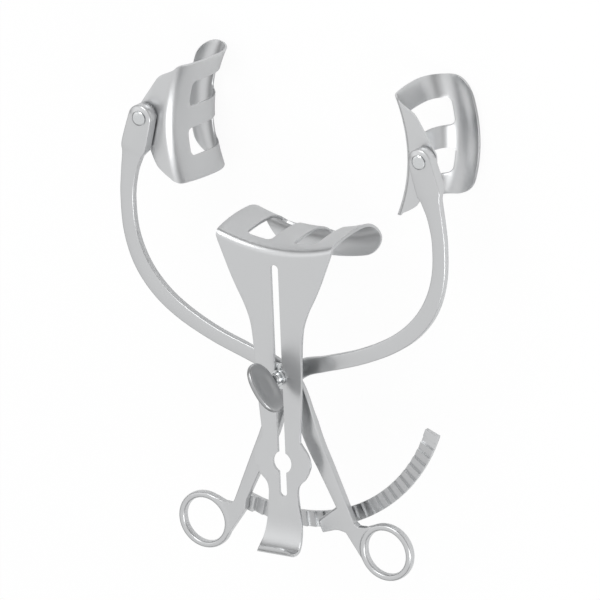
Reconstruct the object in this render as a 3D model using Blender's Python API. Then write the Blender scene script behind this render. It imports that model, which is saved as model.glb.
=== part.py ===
"""Self-retaining abdominal retractor with two swivelling side blades and a sliding centre blade.

Frame: +X to the right of the photograph, +Y from the finger rings towards the blades,
+Z out of the wound. The origin lies on the pivot axis, in the flat rear face of the pivot
screw's head. Sizes are in millimetres until a mesh is finished, where they become metres.
"""
import math

import bmesh
import bpy
from mathutils import Matrix, Vector

MM = 0.001
RUNNING_GAP = 0.3
THROUGH = 60.0

# Forged arms: each runs from the ear at a blade through the pivot to a finger ring
BAR_THICKNESS = 6.4
ARM_STEP = 4.0
LAP_DROP = 1.2
LAP_REACH = 34.0
LAP_RAMP = 14.0
EAR_THICKNESS = 10.4
EAR_REACH = 28.0
EAR_RADIUS = 11.0
EAR_STEP = 3.0
BAR_CHAMFER = 0.9
PIN_X = 137.5
PIN_Y = 203.2
RING_X = 91.5
RING_Y = -143.8
RING_MEAN_RADIUS = 22.4
RING_TUBE_WIDE = 4.3
RING_TUBE_HIGH = 3.9
# Right-hand arm from the ear to its handle on the left: x, y and width of the bar
ARM_STATIONS = (
    (PIN_X, PIN_Y, 22.0),
    (PIN_X + 7.4, PIN_Y - 25.5, 23.6),
    (PIN_X + 9.7, PIN_Y - 34.0, 18.6),
    (PIN_X + 13.4, PIN_Y - 49.0, 14.6),
    (153.5, 132.0, 12.7),
    (151.6, 103.0, 13.0),
    (142.6, 77.0, 14.2),
    (126.5, 55.8, 14.4),
    (104.0, 38.8, 13.8),
    (72.0, 23.6, 12.9),
    (36.0, 11.8, 13.2),
    (12.0, 4.2, 15.6),
    (-6.6, -12.0, 18.0),
    (-22.8, -54.8, 16.4),
    (-35.3, -80.3, 13.8),
    (44.1 - RING_X, RING_Y + 38.5, 11.6),
    (32.1 - RING_X, RING_Y + 13.3, 10.0),
)
# Web between a right-hand handle and its ring: sides of the handle and hollow of each fillet
FORK_OUTER = (
    (RING_X - 39.5, RING_Y + 33.8),
    (RING_X - 31.0, RING_Y + 25.3),
    (RING_X - 17.5, RING_Y + 21.0),
)
FORK_INNER = (
    (RING_X - 25.5, RING_Y - 3.2),
    (RING_X - 35.5, RING_Y + 15.8),
    (RING_X - 45.0, RING_Y + 35.8),
)
FORK_ARC = (125.0, 198.0)
FORK_THICKNESS = 5.2
# Catch on the right-hand handle: inner end of its tab, then the tab's corners from there
CATCH_INNER_X = RING_X - 66.5
CATCH_TOP_Y = RING_Y + 19.8
CATCH_BOTTOM_Y = RING_Y + 9.3
CATCH_UPPER = (22.0, 12.0)
CATCH_HOLLOW = (17.0, 3.0, 20.0)
CATCH_LOWER = (33.0, 2.0)
CATCH_THICKNESS = 4.6
# Tooth under the tab: offsets from the tab's inner end and its upper or lower edge
TOOTH_UPPER = ((3.0, 1.0), (11.0, 4.0))
TOOTH_LOWER = ((12.0, 4.5), (4.0, 2.5))

# Pivot stack from the rear head up to the thumb screw
POST_RADIUS = 3.8
PIVOT_HEAD_RADIUS = 8.0
PIVOT_HEAD_THICKNESS = 2.6
NUT_RADIUS = 8.6
NUT_THICKNESS = 5.8
SLIDE_FLANGE_THICKNESS = 2.8
SLIDE_FLANGE_LENGTH = 22.0
SLIDE_FLANGE_WIDTH = 17.0
SLIDE_KEY_LENGTH = 12.0
CLAMP_RADIUS = 7.0
CLAMP_THICKNESS = 1.8
STUD_RADIUS = 2.4
STUD_LENGTH = 11.4
HUB_RADIUS = 5.2
HUB_HEIGHT = 5.0
SPADE_HALF_WIDTH = 22.4
SPADE_HALF_HEIGHT = 15.0
SPADE_OFFSET = 2.5
SPADE_THICKNESS = 4.6
SPADE_DISH = 1.3
SPADE_EDGE = 0.9
SPADE_LEVELS = (0.0, 0.45, 0.8, 0.92, 1.0)
SPADE_STEPS = 32
SPADE_TURN = -57.0

# Sheet blades: radii and turns of the bends, from the fold through the gently curved wall
# to the two bends of the outward curled lip
SHEET = 1.8
CENTRE_SHEET = 2.6
SIDE_RADII = (8.0, 128.0, 30.0, 22.0)
SIDE_TURNS = (70.0, 20.0, 45.0, 88.0)
CENTRE_RADII = (6.0, 150.0, 34.0, 23.0)
CENTRE_TURNS = (74.0, 17.5, 45.0, 58.0)
BEND_SLICES = (5, 3, 3, 6)
SIDE_PROFILE = tuple(zip(SIDE_RADII, SIDE_TURNS))
CENTRE_PROFILE = tuple(zip(CENTRE_RADII, CENTRE_TURNS))
SIDE_WINDOW = (23.0, 82.0)
CENTRE_WINDOW = (17.0, 78.0)
WINDOW_CORNER = 4.5
LIP_CORNER = 24.0

# Side blades, drawn as a flat blank: x inwards from the pin, y along the blade
SIDE_TOP = 48.3
SIDE_BOTTOM = -55.7
SIDE_FOLD = 20.5
SIDE_BOW = 10.0
SIDE_RIB = 19.0
SIDE_APEX = 9.5
SIDE_SLICES = 8
# Small turn of each blade about its pin, as the two stand in the photograph
LEFT_SIDE_TURN = -4.0
RIGHT_SIDE_TURN = -1.0

# Centre blade
CENTRE_HALF_WIDTH = 57.0
CENTRE_FOLD_Y = 106.0
CENTRE_BOW = 9.5
CENTRE_RIB = 22.0
CENTRE_EASE = 36.0
# Right-hand edge of the shank from the flare down to the hook: x and y
SHANK_EDGE = (
    (55.5, 103.0),
    (48.3, 90.5),
    (38.3, 73.0),
    (31.2, 59.5),
    (26.4, 46.5),
    (24.4, 33.5),
    (23.4, 20.0),
    (21.2, -21.0),
    (18.6, -52.0),
    (20.0, -56.8),
    (25.8, -65.0),
    (28.0, -73.5),
    (26.0, -80.5),
    (22.0, -87.2),
    (16.2, -93.0),
    (14.4, -99.0),
    (14.6, -106.0),
    (15.8, -118.0),
)
SLOT_WIDTH = 7.6
SLOT_TOP = 98.3
SLOT_BOTTOM = -104.4
KEYHOLE_Y = -74.6
KEYHOLE_RADIUS = 9.3
HOOK_START_Y = -122.0
HOOK_RADII = (42.0, 15.0)
HOOK_TURNS = (24.0, 64.0)
HOOK_SLICES = (2, 5)
HOOK_PROFILE = tuple(zip(HOOK_RADII, HOOK_TURNS))
HOOK_TIP = 5.0
HOOK_HALF_WIDTH = 19.4
HOOK_CORNER = 7.0

# Ratchet under the left handle; its arc is flatter than a circle about the pivot
RATCHET_CENTRE = (-5.5, 17.9)
RATCHET_RADIUS = math.hypot(RING_X, RING_Y) - 21.2
RATCHET_WIDTH = 13.4
RATCHET_THICKNESS = 4.6
RATCHET_HEEL = 2.2
HEEL_SPAN = 8.0
HANDLE_X = 35.9 - RING_X
HANDLE_Y = RING_Y + 21.2
HANDLE_TURN = math.degrees(
    math.atan2(RATCHET_CENTRE[0] - HANDLE_X, RATCHET_CENTRE[1] - HANDLE_Y)
)
RATCHET_START = -HANDLE_TURN - HEEL_SPAN / 2.0
RATCHET_END = 68.7
RATCHET_TIP = 2.0
TOOTH_PITCH = 8.6
TOOTH_HEIGHT = 1.6
RIVET_RADIUS = 2.0
RIVET_HEAD = 1.1
RIVET_SPREAD = 3.4
RIVET_GRIP = 2.0
RIVET_PLAY = 0.15

# Blade pins
PIN_RADIUS = 3.4
PIN_HEAD_RADIUS = 6.3
PIN_HEAD_HEIGHT = 1.9
PIN_HEAD_CHAMFER = 1.1
WASHER_RADIUS = 7.0
WASHER_THICKNESS = 1.0
TAIL_RADIUS = 5.6
TAIL_HEIGHT = 1.5

ROUND_STEPS = 24
RING_STEPS = 40
RING_SIDES = 10
ARM_SAMPLES = 3
CORNER_STEPS = 5
SHARP_ANGLE = 34.0

# Heights of the stack on the pivot axis and of what hangs under the arms
HEAD_TOP = PIVOT_HEAD_THICKNESS
RIGHT_ARM_LOW = HEAD_TOP + RUNNING_GAP
RIGHT_ARM_TOP = RIGHT_ARM_LOW + BAR_THICKNESS
LEFT_ARM_TOP = RIGHT_ARM_TOP + ARM_STEP
LAP_HEIGHT = RIGHT_ARM_TOP - LAP_DROP
NUT_LOW = LEFT_ARM_TOP + RUNNING_GAP
NUT_TOP = NUT_LOW + NUT_THICKNESS
FLANGE_LOW = NUT_TOP + RUNNING_GAP
CENTRE_LOW = FLANGE_LOW + SLIDE_FLANGE_THICKNESS + RUNNING_GAP
CENTRE_TOP = CENTRE_LOW + CENTRE_SHEET
CLAMP_LOW = CENTRE_TOP + RUNNING_GAP
HUB_LOW = CLAMP_LOW + CLAMP_THICKNESS + RUNNING_GAP
SPADE_LOW = HUB_LOW + HUB_HEIGHT + 0.05
RATCHET_TOP = RIGHT_ARM_LOW - RUNNING_GAP - RATCHET_HEEL
RATCHET_LOW = RATCHET_TOP - RATCHET_THICKNESS


def clear_scene():
    for obj in list(bpy.data.objects):
        bpy.data.objects.remove(obj, do_unlink=True)


def steel(name, grey, roughness):
    material = bpy.data.materials.new(name)
    material.use_nodes = True
    shader = material.node_tree.nodes["Principled BSDF"]
    shader.inputs["Base Color"].default_value = (grey, grey, grey * 1.01, 1.0)
    shader.inputs["Metallic"].default_value = 1.0
    shader.inputs["Roughness"].default_value = roughness
    return material


def finish_mesh(name, bm, material, origin=(0.0, 0.0, 0.0), smooth=True):
    """Turn a millimetre mesh into a named object whose origin lies at the given point."""
    bmesh.ops.remove_doubles(bm, verts=bm.verts, dist=0.0005)
    bmesh.ops.recalc_face_normals(bm, faces=bm.faces)
    shift = Matrix.Translation(-Vector(origin))
    bmesh.ops.transform(bm, matrix=Matrix.Scale(MM, 4) @ shift, verts=bm.verts)
    mesh = bpy.data.meshes.new(name)
    bm.to_mesh(mesh)
    bm.free()
    if smooth:
        mesh.shade_smooth()
        mesh.set_sharp_from_angle(angle=math.radians(SHARP_ANGLE))
    obj = bpy.data.objects.new(name, mesh)
    obj.location = Vector(origin) * MM
    mesh.materials.append(material)
    bpy.context.collection.objects.link(obj)
    return obj


def loft(rings):
    """Closed skin through rings of equal length, with a flat cap at each end."""
    bm = bmesh.new()
    rows = [[bm.verts.new(point) for point in ring] for ring in rings]
    for low, high in zip(rows, rows[1:]):
        for index in range(len(low)):
            following = (index + 1) % len(low)
            bm.faces.new((low[index], low[following], high[following], high[index]))
    bm.faces.new(list(reversed(rows[0])))
    bm.faces.new(rows[-1])
    return bm


def arc_points(radius, first, last, steps, centre=(0.0, 0.0)):
    """Points along an arc between two angles in degrees, both ends included."""
    points = []
    for step in range(steps + 1):
        angle = math.radians(first + (last - first) * step / steps)
        points.append((centre[0] + radius * math.cos(angle), centre[1] + radius * math.sin(angle)))
    return points


def circle(radius, centre=(0.0, 0.0), steps=ROUND_STEPS):
    return arc_points(radius, 0.0, 360.0, steps, centre)[:-1]


def turned(profile, centre=(0.0, 0.0)):
    """Solid of revolution about a vertical axis; the profile lists radius and height."""
    rings = []
    for radius, height in profile:
        rings.append([(x, y, height) for x, y in circle(radius, centre)])
    return loft(rings)


def drill(target, radius, centre=(0.0, 0.0), low=-THROUGH, high=THROUGH):
    """Cut a round hole along Z through a finished object."""
    combine(target, turned(((radius, low), (radius, high)), centre), "DIFFERENCE")


def prism(outline, low, high):
    """Upright solid between two heights over a plane outline."""
    return loft([[(x, y, low) for x, y in outline], [(x, y, high) for x, y in outline]])


def combine(target, tool_bm, operation):
    """Unite or cut a millimetre mesh with a finished object and drop the tool."""
    tool = finish_mesh("tool", tool_bm, target.data.materials[0], smooth=False)
    modifier = target.modifiers.new("combine", "BOOLEAN")
    modifier.operation = operation
    modifier.solver = "EXACT"
    modifier.object = tool
    graph = bpy.context.evaluated_depsgraph_get()
    result = bpy.data.meshes.new_from_object(target.evaluated_get(graph))
    target.modifiers.remove(modifier)
    target.data = result
    bpy.data.objects.remove(tool, do_unlink=True)


def smooth_curve(stations, samples):
    """Points of a curve through the stations, each channel blended the same way."""
    count = len(stations)
    result = []
    for index in range(count - 1):
        before = stations[max(index - 1, 0)]
        start = stations[index]
        end = stations[index + 1]
        after = stations[min(index + 2, count - 1)]
        for step in range(samples):
            t = step / samples
            point = []
            for a, b, c, d in zip(before, start, end, after):
                linear = c - a
                square = 2.0 * a - 5.0 * b + 4.0 * c - d
                cube = 3.0 * b - a - 3.0 * c + d
                point.append(0.5 * (2.0 * b + linear * t + square * t * t + cube * t ** 3))
            result.append(point)
    result.append(list(stations[-1]))
    return result


def smooth_step(value, low, high):
    t = min(max((value - low) / (high - low), 0.0), 1.0)
    return t * t * (3.0 - 2.0 * t)


def rounded_outline(corners, steps=CORNER_STEPS):
    """Closed outline from corners given as x, y and corner radius."""
    outline = []
    count = len(corners)
    for index, (x, y, radius) in enumerate(corners):
        if radius <= 0.0:
            outline.append((x, y))
            continue
        corner = Vector((x, y))
        to_before = (Vector(corners[index - 1][:2]) - corner).normalized()
        to_after = (Vector(corners[(index + 1) % count][:2]) - corner).normalized()
        half = to_before.angle(to_after) / 2.0
        reach = radius / math.tan(half)
        centre = corner + (to_before + to_after).normalized() * radius / math.sin(half)
        start = corner + to_before * reach - centre
        end = corner + to_after * reach - centre
        first = math.degrees(math.atan2(start.y, start.x))
        last = math.degrees(math.atan2(end.y, end.x))
        swing = (last - first + 180.0) % 360.0 - 180.0
        outline += arc_points(radius, first, first + swing, steps, centre)
    return outline


def mirrored(bm):
    bmesh.ops.scale(bm, vec=(-1.0, 1.0, 1.0), verts=bm.verts)
    bmesh.ops.reverse_faces(bm, faces=bm.faces)
    return bm


def bar_section(x, y, normal, width, low, high):
    """Eight corners of a chamfered bar across the given normal."""
    half = width / 2.0
    corners = (
        (half, low + BAR_CHAMFER),
        (half, high - BAR_CHAMFER),
        (half - BAR_CHAMFER, high),
        (BAR_CHAMFER - half, high),
        (-half, high - BAR_CHAMFER),
        (-half, low + BAR_CHAMFER),
        (BAR_CHAMFER - half, low),
        (half - BAR_CHAMFER, low),
    )
    return [(x + normal[0] * side, y + normal[1] * side, z) for side, z in corners]


def arm_bar(top, lap_above):
    """Bar of one arm, thinned where it crosses its partner and thickened at the ear."""
    line = smooth_curve(ARM_STATIONS, ARM_SAMPLES)
    lengths = [0.0]
    for previous, point in zip(line, line[1:]):
        lengths.append(lengths[-1] + math.dist(previous[:2], point[:2]))
    nearest = min(range(len(line)), key=lambda i: math.hypot(line[i][0], line[i][1]))
    rings = []
    for index, (x, y, width) in enumerate(line):
        ahead = line[min(index + 1, len(line) - 1)]
        behind = line[max(index - 1, 0)]
        run = math.dist(behind[:2], ahead[:2])
        normal = ((ahead[1] - behind[1]) / run, -(ahead[0] - behind[0]) / run)
        distance = abs(lengths[index] - lengths[nearest])
        thin = 1.0 - smooth_step(distance, LAP_REACH, LAP_REACH + LAP_RAMP)
        thick = 1.0 - smooth_step(lengths[index], EAR_REACH, EAR_REACH + EAR_STEP)
        low = top - BAR_THICKNESS
        high = top
        if lap_above:
            low += thin * (LAP_HEIGHT + RUNNING_GAP / 2.0 - low)
        else:
            high += thin * (LAP_HEIGHT - RUNNING_GAP / 2.0 - high)
        low -= thick * (EAR_THICKNESS - BAR_THICKNESS)
        rings.append(bar_section(x, y, normal, width, low, high))
    return loft(rings)


def finger_ring(side, height):
    """Ring of oval section; side is -1 for the left ring and 1 for the right one."""
    section = []
    for turn in range(RING_SIDES):
        angle = 2.0 * math.pi * turn / RING_SIDES
        section.append((RING_TUBE_WIDE * math.cos(angle), RING_TUBE_HIGH * math.sin(angle)))
    profile = [(RING_MEAN_RADIUS + out, height + up) for out, up in section]
    return hoop(profile, RING_STEPS, (side * RING_X, RING_Y))


def handle_gusset(height):
    """Web that fills the corner between a right-hand handle and its ring."""
    arc = arc_points(RING_MEAN_RADIUS, *FORK_ARC, 4, (RING_X, RING_Y))
    outline = list(FORK_OUTER) + arc + list(FORK_INNER)
    return prism(outline, height - FORK_THICKNESS / 2.0, height + FORK_THICKNESS / 2.0)


def catch_tab(height):
    """Short plate on the inner side of the right-hand handle, in front of the ratchet."""
    outline = rounded_outline(
        (
            (CATCH_INNER_X + CATCH_UPPER[0], CATCH_TOP_Y + CATCH_UPPER[1], 0.0),
            (CATCH_INNER_X - 1.0, CATCH_TOP_Y, 2.5),
            (CATCH_INNER_X + 1.0, CATCH_BOTTOM_Y, 1.5),
            (CATCH_INNER_X + CATCH_HOLLOW[0], CATCH_BOTTOM_Y + CATCH_HOLLOW[1], CATCH_HOLLOW[2]),
            (CATCH_INNER_X + CATCH_LOWER[0], CATCH_BOTTOM_Y + CATCH_LOWER[1], 0.0),
        )
    )
    return prism(outline, height - CATCH_THICKNESS / 2.0, height + CATCH_THICKNESS / 2.0)


def catch_tooth(height):
    """Pawl under the tab, reaching down to just above the ratchet teeth."""
    outline = [(CATCH_INNER_X + x, CATCH_TOP_Y + y) for x, y in TOOTH_UPPER]
    outline += [(CATCH_INNER_X + x, CATCH_BOTTOM_Y + y) for x, y in TOOTH_LOWER]
    return prism(outline, RATCHET_TOP + RUNNING_GAP, height)


def arm(name, material, top, lap_above, mirror):
    """One forged arm with its ear, lap joint, handle and finger ring."""
    bm = arm_bar(top, lap_above)
    if mirror:
        mirrored(bm)
    obj = finish_mesh(name, bm, material)
    pin = (-PIN_X if mirror else PIN_X, PIN_Y)
    middle = top - BAR_THICKNESS / 2.0
    low = top - EAR_THICKNESS
    lobe = (
        (EAR_RADIUS - BAR_CHAMFER, low),
        (EAR_RADIUS, low + BAR_CHAMFER),
        (EAR_RADIUS, top - BAR_CHAMFER),
        (EAR_RADIUS - BAR_CHAMFER, top),
    )
    combine(obj, turned(lobe, pin), "UNION")
    gusset = handle_gusset(middle)
    combine(obj, gusset if mirror else mirrored(gusset), "UNION")
    if mirror:
        combine(obj, catch_tab(middle), "UNION")
        combine(obj, catch_tooth(middle), "UNION")
    combine(obj, finger_ring(1.0 if mirror else -1.0, middle), "UNION")
    drill(obj, POST_RADIUS + RUNNING_GAP)
    drill(obj, PIN_RADIUS + RUNNING_GAP, pin)
    if not mirror:
        for spread in (-RIVET_SPREAD, RIVET_SPREAD):
            depth = RIGHT_ARM_LOW + RIVET_GRIP + RUNNING_GAP
            drill(obj, RIVET_RADIUS, rivet_place(spread), high=depth)
    obj.data.shade_smooth()
    obj.data.set_sharp_from_angle(angle=math.radians(SHARP_ANGLE))
    return obj


def profile_point(profile, distance):
    """Inward shift, depth and heading in degrees on the sheet past the start of its fold.

    Heading 90 runs flat inwards, 0 straight down and below 0 outwards again.
    """
    inward = 0.0
    depth = 0.0
    heading = 90.0
    for radius, turn in profile:
        swept = min(math.degrees(distance / radius), turn)
        start = math.radians(heading)
        end = math.radians(heading - swept)
        inward += radius * (math.cos(end) - math.cos(start))
        depth += radius * (math.sin(start) - math.sin(end))
        heading -= swept
        distance -= radius * math.radians(turn)
        if distance <= 0.0:
            break
    return inward, depth, heading


def profile_length(profile):
    return sum(radius * math.radians(turn) for radius, turn in profile)


def bend_positions(profile, slices):
    """Distances from the first bend at which a blank is sliced so that it can follow."""
    result = []
    start = 0.0
    for (radius, turn), count in zip(profile, slices):
        length = radius * math.radians(turn)
        result += [start + length * step / count for step in range(count)]
        start += length
    return result


def window_outlines(rib, low, high, span, fold):
    """Two rounded windows with a rib below, between and above them."""
    opening = (high - low - 3.0 * rib) / 2.0
    near, far = (fold + position for position in span)
    outlines = []
    for start in (low + rib, high - rib - opening):
        corners = (
            (near, start, WINDOW_CORNER),
            (far, start, WINDOW_CORNER),
            (far, start + opening, WINDOW_CORNER),
            (near, start + opening, WINDOW_CORNER),
        )
        outlines.append(rounded_outline(corners))
    return outlines


def flat_blank(outlines):
    """Flat face with holes: the first outline is its edge and the others are cut out."""
    bm = bmesh.new()
    edges = []
    for outline in outlines:
        ring = [bm.verts.new((x, y, 0.0)) for x, y in outline]
        for first, second in zip(ring, ring[1:] + ring[:1]):
            edges.append(bm.edges.new((first, second)))
    bmesh.ops.triangle_fill(bm, edges=edges, use_beauty=True, normal=(0.0, 0.0, 1.0))
    return bm


def slice_blank(bm, normal, positions, beyond=None):
    """Slice a blank across, or only those of its faces that lie beyond a given y."""
    for position in positions:
        faces = bm.faces[:]
        if beyond is not None:
            faces = [face for face in faces if face.calc_center_median().y > beyond]
        geometry = set(faces)
        for face in faces:
            geometry.update(face.verts)
            geometry.update(face.edges)
        bmesh.ops.bisect_plane(
            bm, geom=list(geometry), plane_co=Vector(normal) * position, plane_no=normal
        )


def thickened(bm, directions, thickness):
    """Close a formed sheet by adding its rear surface and its rim."""
    lower = {}
    for vert in list(bm.verts):
        lower[vert] = bm.verts.new(vert.co - directions[vert.index] * thickness)
    walls = []
    for edge in bm.edges:
        if len(edge.link_faces) != 1:
            continue
        loop = next(loop for loop in edge.link_faces[0].loops if loop.edge == edge)
        first = loop.vert
        second = loop.link_loop_next.vert
        walls.append((second, first, lower[first], lower[second]))
    for face in list(bm.faces):
        bm.faces.new([lower[vert] for vert in reversed(face.verts)])
    for wall in walls:
        bm.faces.new(wall)
    return bm


def side_blade(name, material, side, top):
    """Side blade: flat plate under the ear, fold, windowed wall and curled lip."""
    middle = (SIDE_TOP + SIDE_BOTTOM) / 2.0
    half = (SIDE_TOP - SIDE_BOTTOM) / 2.0
    end = SIDE_FOLD + profile_length(SIDE_PROFILE)
    edge = rounded_outline(
        (
            (-SIDE_APEX, -SIDE_APEX * 0.4, SIDE_APEX * 0.7),
            (-SIDE_APEX, SIDE_APEX * 0.4, SIDE_APEX * 0.7),
            (SIDE_FOLD - 2.0, SIDE_TOP, 9.0),
            (end, SIDE_TOP, LIP_CORNER),
            (end, SIDE_BOTTOM, LIP_CORNER),
            (SIDE_FOLD - 5.0, SIDE_BOTTOM, 9.0),
        )
    )
    windows = window_outlines(SIDE_RIB, SIDE_BOTTOM, SIDE_TOP, SIDE_WINDOW, SIDE_FOLD)
    bm = flat_blank([edge] + windows + [circle(PIN_RADIUS + RUNNING_GAP)])
    across = [SIDE_FOLD + place for place in bend_positions(SIDE_PROFILE, BEND_SLICES)]
    slice_blank(bm, (1.0, 0.0, 0.0), across)
    step = (SIDE_TOP - SIDE_BOTTOM) / SIDE_SLICES
    slice_blank(bm, (0.0, 1.0, 0.0), [SIDE_BOTTOM + step * row for row in range(1, SIDE_SLICES)])
    bm.verts.index_update()
    directions = {}
    for vert in bm.verts:
        x, y, _ = vert.co
        bow = SIDE_BOW * ((y - middle) / half) ** 2
        slope = 2.0 * SIDE_BOW * (y - middle) / half ** 2
        if x > SIDE_FOLD:
            inward, depth, heading = profile_point(SIDE_PROFILE, x - SIDE_FOLD)
            inward += SIDE_FOLD + bow
        else:
            # The plate stretches towards the bowed fold and stays as drawn behind the ear
            inward = x + smooth_step(x, SIDE_APEX, SIDE_FOLD) * bow
            depth = 0.0
            heading = 90.0
        tilt = math.radians(heading)
        vert.co = (PIN_X - inward, PIN_Y + y, top - depth)
        outer = Vector((-math.cos(tilt), -slope * math.cos(tilt), math.sin(tilt)))
        directions[vert.index] = outer.normalized()
    thickened(bm, directions, SHEET)
    turn = RIGHT_SIDE_TURN
    if side < 0.0:
        mirrored(bm)
        turn = LEFT_SIDE_TURN
    pin = (side * PIN_X, PIN_Y, top)
    swing = Matrix.Rotation(math.radians(turn), 3, "Z")
    bmesh.ops.rotate(bm, cent=pin, matrix=swing, verts=bm.verts)
    return finish_mesh(name, bm, material, origin=pin)


def hook_point(distance):
    """Rise and drop along the hook after it starts, and its turn in radians."""
    drop, rise, heading = profile_point(HOOK_PROFILE, distance)
    turn = math.radians(90.0 - heading)
    straight = max(distance - profile_length(HOOK_PROFILE), 0.0)
    return rise + straight * math.sin(turn), drop + straight * math.cos(turn), turn


def keyhole_slot():
    """Slot with round ends, crossed by the round hole that passes over the thumb screw."""
    reach = SLOT_WIDTH / 2.0
    mouth = math.degrees(math.asin(reach / KEYHOLE_RADIUS))
    hole = (0.0, KEYHOLE_Y)
    outline = arc_points(reach, 0.0, 180.0, 8, (0.0, SLOT_TOP - reach))
    outline += arc_points(KEYHOLE_RADIUS, 90.0 + mouth, 270.0 - mouth, 10, hole)
    outline += arc_points(reach, 180.0, 360.0, 8, (0.0, SLOT_BOTTOM + reach))
    outline += arc_points(KEYHOLE_RADIUS, mouth - 90.0, 90.0 - mouth, 10, hole)
    return outline


def centre_blank():
    """Flat blank of the centre blade: y runs along the shank and on down the wall."""
    half = CENTRE_HALF_WIDTH
    end = CENTRE_FOLD_Y + profile_length(CENTRE_PROFILE)
    hook_bend_end = HOOK_START_Y - profile_length(HOOK_PROFILE)
    hook_end = hook_bend_end - HOOK_TIP
    lip = rounded_outline(((0.0, end, 0.0), (half, end, LIP_CORNER), (half, 0.0, 0.0)))[1:-1]
    flare = [(half, CENTRE_FOLD_Y + 1.0)] + [(x, y) for x, y in smooth_curve(SHANK_EDGE, 2)]
    tip = rounded_outline(
        (
            (HOOK_HALF_WIDTH, 0.0, 0.0),
            (HOOK_HALF_WIDTH, hook_end, HOOK_CORNER),
            (0.0, hook_end, 0.0),
        )
    )[1:-1]
    right = lip + flare + tip
    edge = right + [(-x, y) for x, y in reversed(right)]
    windows = []
    for outline in window_outlines(CENTRE_RIB, -half, half, CENTRE_WINDOW, CENTRE_FOLD_Y):
        windows.append([(x, y) for y, x in outline])
    bm = flat_blank([edge] + windows + [keyhole_slot()])
    across = [CENTRE_FOLD_Y + place for place in bend_positions(CENTRE_PROFILE, BEND_SLICES)]
    across += [CENTRE_FOLD_Y - CENTRE_EASE * step / 3 for step in range(1, 4)]
    across += [HOOK_START_Y - place for place in bend_positions(HOOK_PROFILE, HOOK_SLICES)]
    across.append(hook_bend_end)
    slice_blank(bm, (0.0, 1.0, 0.0), across)
    lengthwise = [half * step / 5 for step in range(-4, 5)]
    slice_blank(bm, (1.0, 0.0, 0.0), lengthwise, beyond=CENTRE_FOLD_Y - CENTRE_EASE / 3.0)
    return bm


def centre_blade(name, material):
    """Centre blade: slotted shank, hook for the thumb, fold, windowed wall and lip."""
    bm = centre_blank()
    bm.verts.index_update()
    directions = {}
    for vert in bm.verts:
        x, y, _ = vert.co
        bow = CENTRE_BOW * (x / CENTRE_HALF_WIDTH) ** 2
        slope = 2.0 * CENTRE_BOW * x / CENTRE_HALF_WIDTH ** 2
        if y > CENTRE_FOLD_Y:
            inward, depth, heading = profile_point(CENTRE_PROFILE, y - CENTRE_FOLD_Y)
            tilt = math.radians(heading)
            vert.co = (x, CENTRE_FOLD_Y + bow + inward, CENTRE_TOP - depth)
            outer = Vector((-slope * math.cos(tilt), math.cos(tilt), math.sin(tilt)))
        elif y < HOOK_START_Y:
            rise, drop, tilt = hook_point(HOOK_START_Y - y)
            vert.co = (x, HOOK_START_Y - drop, CENTRE_TOP + rise)
            outer = Vector((0.0, math.sin(tilt), math.cos(tilt)))
        else:
            stretch = smooth_step(y, CENTRE_FOLD_Y - CENTRE_EASE, CENTRE_FOLD_Y) * bow
            vert.co = (x, y + stretch, CENTRE_TOP)
            outer = Vector((0.0, 0.0, 1.0))
        directions[vert.index] = outer.normalized()
    thickened(bm, directions, CENTRE_SHEET)
    return finish_mesh(name, bm, material, origin=(0.0, 0.0, CENTRE_LOW))


def ratchet_point(degrees, spread):
    """Point at an angle along the ratchet and at a distance outside its middle line."""
    turn = math.radians(degrees)
    radius = RATCHET_RADIUS + spread
    x = RATCHET_CENTRE[0] + radius * math.sin(turn)
    y = RATCHET_CENTRE[1] - radius * math.cos(turn)
    return x, y


def rivet_place(spread):
    """Centre of a rivet between the ratchet bar and the left handle."""
    return ratchet_point(RATCHET_START + HEEL_SPAN / 2.0, spread)


def ratchet_bar(name, material):
    """Curved bar with saw teeth on its upper face and a thick heel under the handle."""
    root = RATCHET_TOP - TOOTH_HEIGHT
    heel = RATCHET_TOP + RATCHET_HEEL
    pitch = math.degrees(TOOTH_PITCH / RATCHET_RADIUS)
    angle = RATCHET_START + HEEL_SPAN
    heights = [(RATCHET_START, heel), (angle - 0.2, heel)]
    while angle + pitch < RATCHET_END - RATCHET_TIP:
        heights.append((angle, root))
        heights.append((angle + pitch * 0.78, RATCHET_TOP))
        heights.append((angle + pitch * 0.97, root))
        angle += pitch
    heights.append((RATCHET_END - RATCHET_TIP, RATCHET_TOP))
    heights.append((RATCHET_END, RATCHET_TOP))
    rings = []
    half = RATCHET_WIDTH / 2.0
    for degrees, height in heights:
        inner = ratchet_point(degrees, -half)
        outer = ratchet_point(degrees, half)
        ring = [(*inner, RATCHET_LOW), (*outer, RATCHET_LOW), (*outer, height), (*inner, height)]
        rings.append(ring)
    obj = finish_mesh(name, loft(rings), material, smooth=False)
    for spread in (-RIVET_SPREAD, RIVET_SPREAD):
        drill(obj, RIVET_RADIUS, rivet_place(spread))
    return obj


def ratchet_rivet(name, material, spread):
    """Rivet up through the ratchet bar into the handle, with a low head on the rear."""
    shank = RIVET_RADIUS - RIVET_PLAY
    head = RIVET_RADIUS + RIVET_HEAD
    seat = RATCHET_LOW - RIVET_PLAY
    profile = (
        (head - 0.4, seat - RIVET_HEAD),
        (head, seat - RIVET_HEAD / 2.0),
        (head, seat),
        (shank, seat),
        (shank, RIGHT_ARM_LOW + RIVET_GRIP),
    )
    place = rivet_place(spread)
    return finish_mesh(name, turned(profile, place), material, origin=(*place, RATCHET_LOW))


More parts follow.
